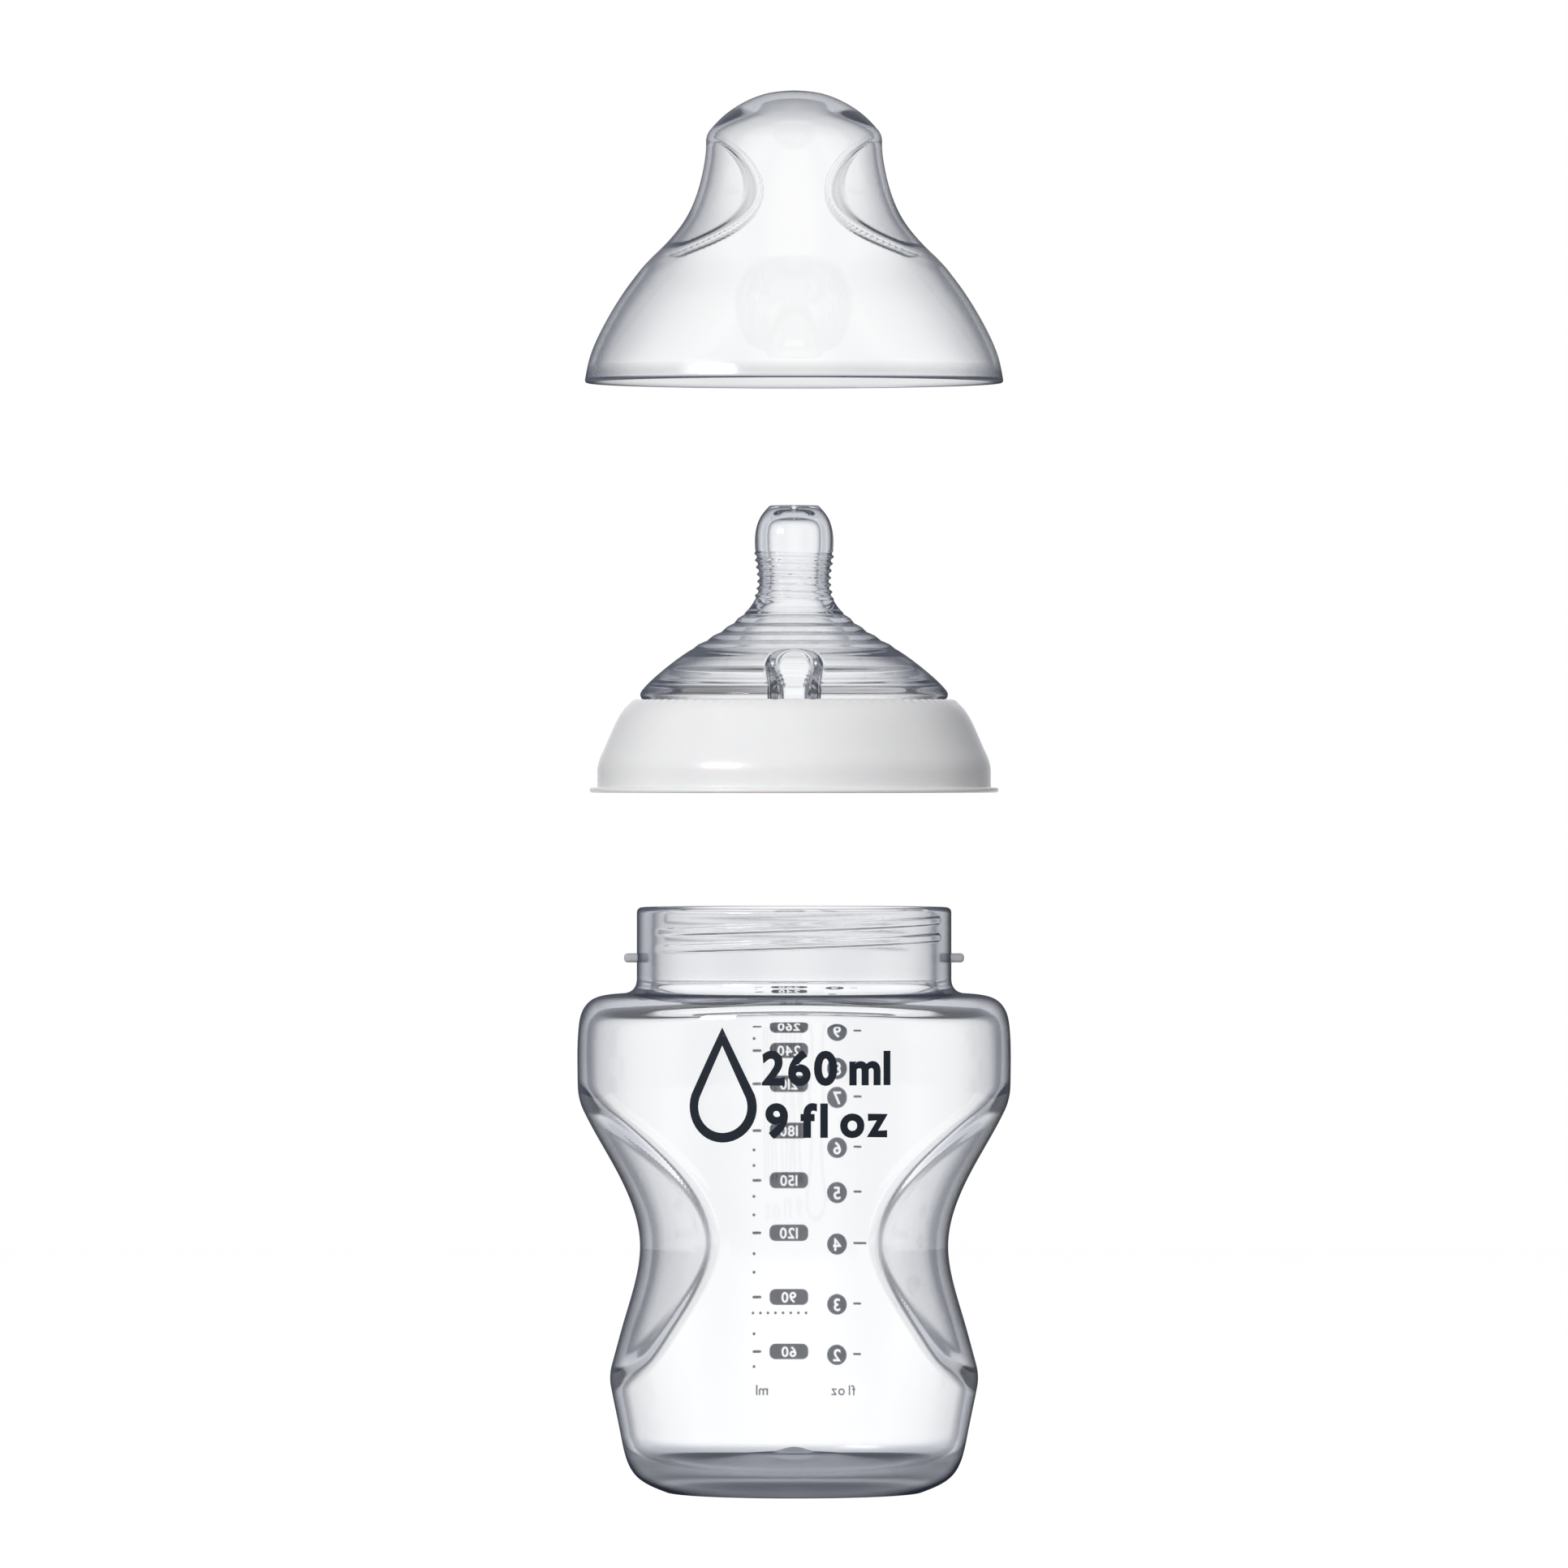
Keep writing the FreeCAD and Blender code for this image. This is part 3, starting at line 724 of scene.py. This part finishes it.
def white_plastic():
    """Opaque white polypropylene: satin, with a trace of moulding texture."""
    material, tree, output = new_material("white_polypropylene")
    skin = add_node(tree, "BsdfPrincipled", {"Roughness": 0.25, "IOR": 1.5,
                                             "Subsurface Weight": 0.25,
                                             "Subsurface Scale": 0.002})
    mottle(tree, skin, noise(tree, 45.0, 4.0),
           [(0.3, (0.735, 0.735, 0.735)), (0.7, (0.76, 0.76, 0.758))])
    uneven(tree, skin, noise(tree, 900.0, 2.0), 0.05, 0.0002)
    tree.links.new(skin.outputs["BSDF"], output.inputs["Surface"])
    return material


def ink(name, colour):
    """Screen-printed ink: matt, a little uneven."""
    material, tree, output = new_material(name)
    skin = add_node(tree, "BsdfPrincipled", {"Roughness": 0.65, "Specular IOR Level": 0.2})
    darker = tuple(channel * 0.85 for channel in colour)
    mottle(tree, skin, noise(tree, 400.0, 3.0), [(0.35, darker), (0.65, colour)])
    tree.links.new(skin.outputs["BSDF"], output.inputs["Surface"])
    return material


# Painted shade: how much slate grey each clear piece takes, against how far its wall turns away
# from view.
PLASTIC_EDGE_SHADE = [(0.0, 0.0), (0.18, 0.0), (0.27, 0.025), (0.36, 0.05), (0.43, 0.075), (0.53, 0.11),
                (0.61, 0.14), (0.67, 0.19), (0.73, 0.42), (0.80, 0.72), (0.88, 0.93), (1.0, 0.97)]
CAP_EDGE_SHADE = [(0.0, 0.0), (0.18, 0.005), (0.27, 0.04), (0.36, 0.08), (0.43, 0.11), (0.53, 0.17),
            (0.61, 0.22), (0.67, 0.27), (0.73, 0.40), (0.80, 0.6), (0.88, 0.8), (1.0, 0.9)]
SILICONE_EDGE_SHADE = [(0.0, 0.0), (0.25, 0.01), (0.4, 0.06), (0.5, 0.16), (0.6, 0.32), (0.72, 0.6),
                 (0.85, 0.88), (1.0, 0.92)]
FROSTED_NECK = (90.5, 92.5, 0.05, 0.03)
# The foot is rougher and greyer below 5 mm; its grey is painted shade.
FROSTED_AND_SHADED_FOOT = (7.0, 5.0, 0.22, 0.14)
FROSTED_CAP_RIM = (CAP_BOTTOM + 3.2, CAP_BOTTOM + 1.6, 0.12, 0.10)
CLEAR_BOTTLE = clear_material(
    "clear_polypropylene_bottle", PLASTIC_IOR, tint=(0.995, 0.996, 0.998),
    edge_shade_stops=PLASTIC_EDGE_SHADE, roughness=0.03, waviness=0.10, wave_scale=55.0, density=30.0,
    frosted=[FROSTED_NECK, FROSTED_AND_SHADED_FOOT])
CLEAR_CAP = clear_material(
    "clear_polypropylene_cap", PLASTIC_IOR, tint=(0.996, 0.997, 0.998),
    edge_shade_stops=CAP_EDGE_SHADE, roughness=0.03, waviness=0.10, wave_scale=55.0, density=12.0,
    frosted=[FROSTED_CAP_RIM])
CLEAR_SILICONE = clear_material(
    "clear_silicone", SILICONE_IOR, tint=(0.985, 0.988, 0.992),
    edge_shade_stops=SILICONE_EDGE_SHADE, roughness=0.04, waviness=0.12, wave_scale=90.0, density=30.0,
    frosted=[])
LUG_GREY_PLASTIC = milky_plastic()
WHITE_PLASTIC = white_plastic()
SCALE_INK = ink("slate_ink", (0.05, 0.06, 0.085))
MARK_INK = ink("navy_ink", (0.010, 0.015, 0.024))


# ------------------------------------------------------------------ the four mouldings

AROUND = 360
TEAT_AROUND = AROUND + 120
RING_AROUND = 480


def place_piece(piece, material, body, node):
    """Gives a piece its material and its body, in place of its plain solid."""
    piece.data.materials.append(material)
    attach(piece, body)
    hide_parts(node)


bottle = turned_mesh("bottle_moulding", bottle_outline(), AROUND, bottle_radii, 0.0, False)
place_piece(bottle, CLEAR_BOTTLE, "bottle", "bottle")
teat = turned_mesh("teat_moulding", teat_outline(), TEAT_AROUND, teat_radii, TEAT_BOTTOM, True)
place_piece(teat, CLEAR_SILICONE, "teat", "teat")
ring = turned_mesh("ring_moulding", ring_outline(), RING_AROUND, ring_radii, RING_BOTTOM, True)
place_piece(ring, WHITE_PLASTIC, "screw_ring", "screw_ring")
cap = turned_mesh("cap_moulding", cap_outline(), AROUND, cap_radii, CAP_BOTTOM, True)
place_piece(cap, CLEAR_CAP, "cap", "cap")


def add_to_bottle(name, work, material):
    """Makes a piece of the bottle's body from a finished edit mesh."""
    mesh = bpy.data.meshes.new(name)
    work.to_mesh(mesh)
    work.free()
    mesh.materials.append(material)
    piece = add_object(name, mesh)
    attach(piece, "bottle")
    return piece


LUG_HEIGHT = 95.3
LUG_REACH = 30.3
LUG_SIZE = (3.2, 5.6, 1.6)
LUG_ROUNDING = 0.6


def add_lug(name, direction):
    """One of the two rounded side lugs of the neck."""
    work = bmesh.new()
    bmesh.ops.create_cube(work, size=1.0)
    middle = direction * (LUG_REACH - LUG_SIZE[0] / 2)
    for vert in work.verts:
        vert.co = Vector((middle + vert.co.x * LUG_SIZE[0], vert.co.y * LUG_SIZE[1],
                          LUG_HEIGHT + vert.co.z * LUG_SIZE[2])) * MM
    bmesh.ops.bevel(work, geom=work.edges[:], offset=LUG_ROUNDING * MM, segments=4,
                    profile=0.5, affect="EDGES")
    add_to_bottle(name, work, LUG_GREY_PLASTIC).data.shade_smooth()


add_lug("lug_right", 1)
add_lug("lug_left", -1)


# ------------------------------------------------------------------ prints on the bottle

INK_STAND_OFF = 0.05
FIGURE_SHARE = 0.73
WORD_SPACE = 0.28
LETTER_SPACE = 0.13
BOLD_SPACE = 1.4
FLAT_CURVE = 0.002
CURVE_POINTS = 6
TURN_BACK = 0.2
MITRE_LEAST = 0.625
FACET = 1.0
SIDE_CURVE = smooth_curve(BOTTLE_SIDE, SIDE_STEP)
SIDE_HEIGHTS = [height for radius, height in SIDE_CURVE]
SIDE_RADII = [radius for radius, height in SIDE_CURVE]


def thickened(loops, amount):
    """Loops pushed out from their ink, or in round their holes, to make a bolder letter."""
    areas = []
    for loop in loops:
        following = loop[1:] + loop[:1]
        areas.append(sum(x * v - u * y for (x, y), (u, v) in zip(loop, following)) / 2)
    way = 1.0 if sum(areas) > 0 else -1.0
    result = []
    for loop in loops:
        pushed = []
        for number, (x, y) in enumerate(loop):
            before = loop[number - 1]
            after = loop[(number + 1) % len(loop)]
            first = Vector((x - before[0], y - before[1])).normalized()
            second = Vector((after[0] - x, after[1] - y)).normalized()
            along = first + second
            if along.length < TURN_BACK:
                along = first
            along.normalize()
            mitre = way * amount / max(along.dot(first), MITRE_LEAST)
            pushed.append((x + along.y * mitre, y - along.x * mitre))
        result.append(pushed)
    return result


def letter_loops(letter, height):
    """One letter as closed flat loops that start at x = 0, with figures as high as asked."""
    data = bpy.data.curves.new("letter", "FONT")
    data.body = letter
    data.size = height / FIGURE_SHARE
    holder = add_object("letter", data)
    outline = holder.to_curve(bpy.context.evaluated_depsgraph_get())
    loops = []
    for spline in outline.splines:
        knots = list(spline.bezier_points)
        loop = []
        for knot, following in zip(knots, knots[1:] + knots[:1]):
            loop.append((knot.co.x, knot.co.y))
            chord = following.co - knot.co
            lean = (chord.cross(knot.handle_right - knot.co).length
                    + chord.cross(following.handle_left - knot.co).length)
            if lean > FLAT_CURVE * height * chord.length:
                stretch = interpolate_bezier(knot.co, knot.handle_right, following.handle_left,
                                             following.co, CURVE_POINTS)
                loop += [(point.x, point.y) for point in stretch[1:-1]]
        loops.append(loop)
    holder.to_curve_clear()
    bpy.data.objects.remove(holder)
    left = min(x for loop in loops for x, y in loop)
    return [[(x - left, y) for x, y in loop] for loop in loops]


def flat_text(words, centre, height, bold):
    """Words centred on a place: one list of loops for each letter."""
    letters = []
    cursor = 0.0
    for letter in words:
        if letter == " ":
            cursor += WORD_SPACE * height
            continue
        loops = letter_loops(letter, height)
        letters.append([[(x + cursor, y) for x, y in loop] for loop in loops])
        width = max(x for loop in letters[-1] for x, y in loop)
        cursor = width + LETTER_SPACE * height + BOLD_SPACE * bold
    placed = []
    for loops in letters:
        moved = [[(x + centre[0] - width / 2, y + centre[1] - height / 2) for x, y in loop]
                 for loop in loops]
        placed.append(thickened(moved, bold))
    return placed


def rounded_bar(centre, width, height, radius):
    """A bar with rounded ends or corners, as one loop."""
    loop = []
    for corner_x, corner_y, start in ((1, 1, 0), (-1, 1, 90), (-1, -1, 180), (1, -1, 270)):
        middle = (centre[0] + corner_x * (width / 2 - radius),
                  centre[1] + corner_y * (height / 2 - radius))
        loop += round_corner(middle, radius, start, start + 90, 6)
    return loop


def dot(centre, radius):
    """A round dot, as one loop."""
    return rounded_bar(centre, 2 * radius, 2 * radius, radius)


def filled(loops):
    """A flat mesh of the loops, each loop inside another one being a hole in it."""
    data = bpy.data.curves.new("print", "CURVE")
    data.dimensions = "2D"
    data.fill_mode = "BOTH"
    for loop in loops:
        spline = data.splines.new("POLY")
        spline.points.add(len(loop) - 1)
        for point, (x, y) in zip(spline.points, loop):
            point.co = (x, y, 0.0, 1.0)
        spline.use_cyclic_u = True
    holder = add_object("print", data)
    bpy.context.view_layer.update()
    mesh = bpy.data.meshes.new_from_object(holder)
    bpy.data.objects.remove(holder)
    return mesh


def wrap_print(name, groups, back, material):
    """Lays flat artwork on the front or the back of the bottle. Each group of loops is filled
    by itself. Across the artwork, x is the reader's right."""
    work = bmesh.new()
    for loops in groups:
        mesh = filled(loops)
        work.from_mesh(mesh)
        bpy.data.meshes.remove(mesh)
    for direction in ((1, 0, 0), (0, 1, 0)):
        axis = Vector(direction)
        reach = [vert.co.dot(axis) for vert in work.verts]
        place = math.ceil(min(reach))
        while place < max(reach):
            bmesh.ops.bisect_plane(work, geom=work.verts[:] + work.edges[:] + work.faces[:],
                                   plane_co=axis * place, plane_no=axis)
            place += FACET
    way = -1.0 if back else 1.0
    for vert in work.verts:
        across, height = vert.co.x, vert.co.y
        radius = float(np.interp(height, SIDE_HEIGHTS, SIDE_RADII)) + INK_STAND_OFF
        angle = across / radius
        vert.co = Vector((way * radius * math.sin(angle), -way * radius * math.cos(angle),
                          height)) * MM
    bmesh.ops.recalc_face_normals(work, faces=work.faces)
    add_to_bottle(name, work, material)


# Bars are their width, height and rounding. Letters are their height and boldness.
MILLILITRES = [(260, 82.7), (240, 77.9), (210, 71.9), (180, 63.5), (150, 54.5), (120, 45.1),
               (90, 33.6), (60, 23.6)]
PILL_PLACE = 0.95
PILL_BAR = (7.2, 2.9, 1.1)
PILL_FIGURES = (1.95, 0.05)
LONG_DASH_PLACE = 6.95
LONG_DASH_BAR = (1.7, 0.5, 0.24)
FLUID_OUNCES = [(9, 81.6), (8, 74.6), (7, 69.5), (6, 60.4), (5, 52.3), (4, 43.1), (3, 32.3),
                (2, 23.0)]
OUNCE_PLACE = -8.1
OUNCE_RADIUS = 1.9
OUNCE_FIGURES = (2.3, 0.06)
SHORT_DASH_PLACE = -12.05
SHORT_DASH_LIFT = 0.2
SHORT_DASH_BAR = (1.6, 0.4, 0.19)
SMALL_MARKS = [80.2, 60.0, 57.2, 51.6, 48.3, 41.4, 38.1, 26.9, 20.8]
SMALL_MARK_PLACE = 7.5
SMALL_MARK_RADIUS = 0.28
DOTTED_ROW = 30.7
ROW_PLACES = [7.7 - 1.42 * number for number in range(8)]
ROW_DOT_RADIUS = 0.26
UNITS = [("ml", 6.0), ("fl oz", -9.4)]
UNITS_HEIGHT = 16.5
UNITS_LETTERS = (1.9, 0.03)
DROP_PLACE = (-12.9, 69.6)
DROP_HALF_WIDTH = 6.3
DROP_TOP = 14.0
DROP_LINE = 1.7
DROP_POINT_LINE = 1.9
DROP_ARC = (-200, 20)
DROP_POINTS = 24
MARK_LINES = [("260 ml", 76.6), ("9 fl oz", 67.4)]
MARK_PLACE = 5.9
MARK_LETTERS = (5.8, 0.32)


def scale_groups():
    """The volume marks: pills with clear figures, dashes, dots and the two units."""
    groups = []
    for number, height in MILLILITRES:
        place = (PILL_PLACE, height)
        figures = sum(flat_text(str(number), place, *PILL_FIGURES), [])
        groups.append([rounded_bar(place, *PILL_BAR)] + figures)
        groups.append([rounded_bar((LONG_DASH_PLACE, height), *LONG_DASH_BAR)])
    for number, height in FLUID_OUNCES:
        place = (OUNCE_PLACE, height)
        figures = sum(flat_text(str(number), place, *OUNCE_FIGURES), [])
        groups.append([dot(place, OUNCE_RADIUS)] + figures)
        groups.append([rounded_bar((SHORT_DASH_PLACE, height + SHORT_DASH_LIFT), *SHORT_DASH_BAR)])
    for height in SMALL_MARKS:
        groups.append([dot((SMALL_MARK_PLACE, height), SMALL_MARK_RADIUS)])
    for place in ROW_PLACES:
        groups.append([dot((place, DOTTED_ROW), ROW_DOT_RADIUS)])
    for words, place in UNITS:
        groups += flat_text(words, (place, UNITS_HEIGHT), *UNITS_LETTERS)
    return groups


def drop_loop(inset):
    """A milk drop, round below and drawn up to a point, or its inner edge an inset inside."""
    loop = round_corner(DROP_PLACE, DROP_HALF_WIDTH - inset, *DROP_ARC, DROP_POINTS)
    loop.append((DROP_PLACE[0], DROP_PLACE[1] + DROP_TOP - inset * DROP_POINT_LINE))
    return loop


def mark_groups():
    """A plain mark on the front: a milk drop with the bottle's size beside it."""
    groups = [[drop_loop(0.0), drop_loop(DROP_LINE)]]
    for words, height in MARK_LINES:
        groups += flat_text(words, (MARK_PLACE, height), *MARK_LETTERS)
    return groups


wrap_print("volume_scale", scale_groups(), True, SCALE_INK)
wrap_print("front_mark", mark_groups(), False, MARK_INK)


# ------------------------------------------------------------------ camera, floor and light

VIEW_WIDTH = 0.27975
VIEW_DISTANCE = 2.5
VIEW_CENTRE = Vector((-0.0018, 0.0, 0.1263))
VIEW_ELEVATION = math.radians(0.1)
MIDDLE = (0.0, 0.0, 0.12)
FOOT = (0.0, 0.0, 0.0)
FLOOR_SEEN = (0.94, 0.94, 0.94)
# Painted shade: the grey of the floor close to the bottle, as the clear pieces bend and mirror it.
FLOOR_NEAR_PAINTED_SHADE = (0.72, 0.74, 0.79)
FLOOR_BOUNCE = (0.22, 0.22, 0.22)
FLOOR_MATT = (0.12, 0.12, 0.12, 1.0)
FLOOR_DARK_TO = 0.03
FLOOR_LIGHT_FROM = 0.09
FLOOR_REACH = 1.3
FLOOR_CORNERS = 96
BENT_WALL = [(0.0, (0.60, 0.62, 0.67)), (0.25, (0.76, 0.78, 0.82)), (0.55, (0.97, 0.975, 0.985)),
             (0.7, (1.0, 1.0, 1.0))]
BENT_OVERHEAD = (0.70, 0.72, 0.77)
BENT_OVERHEAD_RISE = (0.08, 0.5)
MIRRORED_WALL = [(0.0, (0.20, 0.22, 0.27)), (0.35, (0.28, 0.30, 0.35)),
                 (0.8, (0.75, 0.76, 0.79)), (0.95, (1.0, 1.0, 1.0))]
MIRRORED_OVERHEAD = (0.9, 0.905, 0.92)
MIRRORED_OVERHEAD_RISE = (0.45, 0.85)
SOFT_FRONT = (0.45, 0.45, 0.46)
SOFT_SIDE = (0.16, 0.16, 0.165)


def add_camera():
    """A long lens, nearly level, straight at the front."""
    data = bpy.data.cameras.new("camera")
    data.sensor_width = 36.0
    data.lens = data.sensor_width * VIEW_DISTANCE / VIEW_WIDTH
    camera = add_object("camera", data)
    back = Vector((0.0, -math.cos(VIEW_ELEVATION), math.sin(VIEW_ELEVATION)))
    camera.location = VIEW_CENTRE + back * VIEW_DISTANCE
    camera.rotation_euler = (-back).to_track_quat("-Z", "Y").to_euler()
    bpy.context.scene.camera = camera


def mixed_colour(tree, share, first, second):
    """A mix of two colours, each a socket or a plain colour."""
    node = tree.nodes.new("ShaderNodeMix")
    node.data_type = "RGBA"
    tree.links.new(share, node.inputs["Factor"])
    for socket, value in ((node.inputs["A"], first), (node.inputs["B"], second)):
        if isinstance(value, tuple):
            socket.default_value = (*value, 1.0)
        else:
            tree.links.new(value, socket)
    return node.outputs["Result"]


def sideways_share(tree, direction):
    """0 straight ahead and behind, 1 to each side."""
    parts = tree.nodes.new("ShaderNodeSeparateXYZ")
    tree.links.new(direction, parts.inputs["Vector"])
    x_square = math_node(tree, "MULTIPLY", parts.outputs["X"], parts.outputs["X"])
    y_square = math_node(tree, "MULTIPLY", parts.outputs["Y"], parts.outputs["Y"])
    level = math_node(tree, "ADD", x_square, y_square)
    level = math_node(tree, "MAXIMUM", level, 0.000001)
    return math_node(tree, "DIVIDE", x_square, level)


def wall_lobe(tree, direction):
    """1 straight ahead, behind and to each side, falling to 0 on the diagonals."""
    lobe = math_node(tree, "SUBTRACT", sideways_share(tree, direction), 0.5)
    lobe = math_node(tree, "MULTIPLY", lobe, lobe)
    return math_node(tree, "MULTIPLY", lobe, 4.0)


def wall_light(tree, lobe, height, wall_stops, overhead_rise, overhead_colour):
    """The studio's light: the walls by lobe, and overhead its own colour."""
    wall = ramp(tree, wall_stops)
    tree.links.new(lobe, wall.inputs["Fac"])
    overhead = level_mask(tree, height, *overhead_rise)
    light = tree.nodes.new("ShaderNodeBackground")
    tree.links.new(mixed_colour(tree, overhead, wall.outputs["Color"], overhead_colour),
                   light.inputs["Color"])
    return light.outputs["Background"]


def add_floor():
    """A round floor, white to the eye. What the clear pieces bend and mirror of it is a painted
    shade, grey close to the bottle, and as light as the walls further out."""
    mesh = bpy.data.meshes.new("floor")
    turns = [2 * math.pi * i / FLOOR_CORNERS for i in range(FLOOR_CORNERS)]
    verts = [(FLOOR_REACH * math.cos(turn), FLOOR_REACH * math.sin(turn), 0.0) for turn in turns]
    mesh.from_pydata(verts, [], [list(range(FLOOR_CORNERS))])
    floor = add_object("floor", mesh)
    material, tree, output = new_material("white_floor")
    matt = add_node(tree, "BsdfDiffuse", {"Color": FLOOR_MATT})
    glow = tree.nodes.new("ShaderNodeEmission")
    path = tree.nodes.new("ShaderNodeLightPath")
    place = tree.nodes.new("ShaderNodeTexCoord")
    away = tree.nodes.new("ShaderNodeVectorMath")
    away.operation = "LENGTH"
    tree.links.new(place.outputs["Object"], away.inputs[0])
    far = level_mask(tree, away.outputs["Value"], FLOOR_DARK_TO, FLOOR_LIGHT_FROM)
    walls = ramp(tree, BENT_WALL)
    tree.links.new(wall_lobe(tree, place.outputs["Object"]), walls.inputs["Fac"])
    # Painted shade: grey close to the bottle, fading out to the walls' light further away.
    unseen = mixed_colour(tree, far, FLOOR_NEAR_PAINTED_SHADE, walls.outputs["Color"])
    unseen = mixed_colour(tree, path.outputs["Is Diffuse Ray"], unseen, FLOOR_BOUNCE)
    seen = mixed_colour(tree, path.outputs["Is Camera Ray"], unseen, FLOOR_SEEN)
    tree.links.new(seen, glow.inputs["Color"])
    both = tree.nodes.new("ShaderNodeAddShader")
    tree.links.new(matt.outputs["BSDF"], both.inputs[0])
    tree.links.new(glow.outputs["Emission"], both.inputs[1])
    tree.links.new(both.outputs["Shader"], output.inputs["Surface"])
    mesh.materials.append(material)


def add_light(name, place, target, size, power, mirrored):
    """A soft lamp that looks at a target. A mirrored one is only seen in glossy surfaces, and
    the others only light matt ones."""
    data = bpy.data.lights.new(name, "AREA")
    data.shape = "RECTANGLE"
    data.size = size[0]
    data.size_y = size[1]
    data.energy = power
    lamp = add_object(name, data)
    lamp.location = place
    lamp.rotation_euler = (Vector(target) - Vector(place)).to_track_quat("-Z", "Y").to_euler()
    lamp.visible_glossy = mirrored
    lamp.visible_diffuse = not mirrored
    lamp.visible_transmission = False


def add_surround():
    """White all round to the eye; what the clear pieces bend and mirror is a white wall ahead,
    behind and to each side, with darker gaps at the four corners of the studio."""
    world = bpy.data.worlds.new("studio")
    bpy.context.scene.world = world
    world.use_nodes = True
    tree = world.node_tree
    tree.nodes.clear()
    output = tree.nodes.new("ShaderNodeOutputWorld")
    place = tree.nodes.new("ShaderNodeTexCoord")
    parts = tree.nodes.new("ShaderNodeSeparateXYZ")
    tree.links.new(place.outputs["Generated"], parts.inputs["Vector"])
    lobe = wall_lobe(tree, place.outputs["Generated"])
    height = parts.outputs["Z"]
    bent = wall_light(tree, lobe, height, BENT_WALL, BENT_OVERHEAD_RISE, BENT_OVERHEAD)
    mirrored = wall_light(tree, lobe, height, MIRRORED_WALL, MIRRORED_OVERHEAD_RISE,
                          MIRRORED_OVERHEAD)
    soft = tree.nodes.new("ShaderNodeBackground")
    sideways = sideways_share(tree, place.outputs["Generated"])
    tree.links.new(mixed_colour(tree, sideways, SOFT_FRONT, SOFT_SIDE), soft.inputs["Color"])
    seen = add_node(tree, "Background", {"Color": (1.0, 1.0, 1.0, 1.0)})
    path = tree.nodes.new("ShaderNodeLightPath")
    light = mirrored
    for kind, other in (("Is Transmission Ray", bent),
                        ("Is Diffuse Ray", soft.outputs["Background"]),
                        ("Is Camera Ray", seen.outputs["Background"])):
        light = mixed_shader(tree, path.outputs[kind], light, other)
    tree.links.new(light, output.inputs["Surface"])


add_camera()
add_floor()
add_light("key", (-0.7, -1.4, 0.75), MIDDLE, size=(0.5, 0.7), power=20.5, mirrored=False)
add_light("overhead", (0.0, 0.0, 1.4), FOOT, size=(1.6, 1.6), power=2.5, mirrored=False)
add_light("fill", (1.2, -0.9, 0.4), MIDDLE, size=(0.6, 0.8), power=0.8, mirrored=False)
add_light("glint", (-0.95, -1.0, 0.62), MIDDLE, size=(0.5, 0.24), power=9.0, mirrored=True)
add_surround()

scene = bpy.context.scene
scene.view_settings.view_transform = "Standard"
scene.cycles.max_bounces = 24
scene.cycles.transmission_bounces = 20
scene.cycles.transparent_max_bounces = 16
scene.cycles.glossy_bounces = 8
scene.cycles.diffuse_bounces = 3
scene.cycles.caustics_reflective = False
scene.cycles.caustics_refractive = False
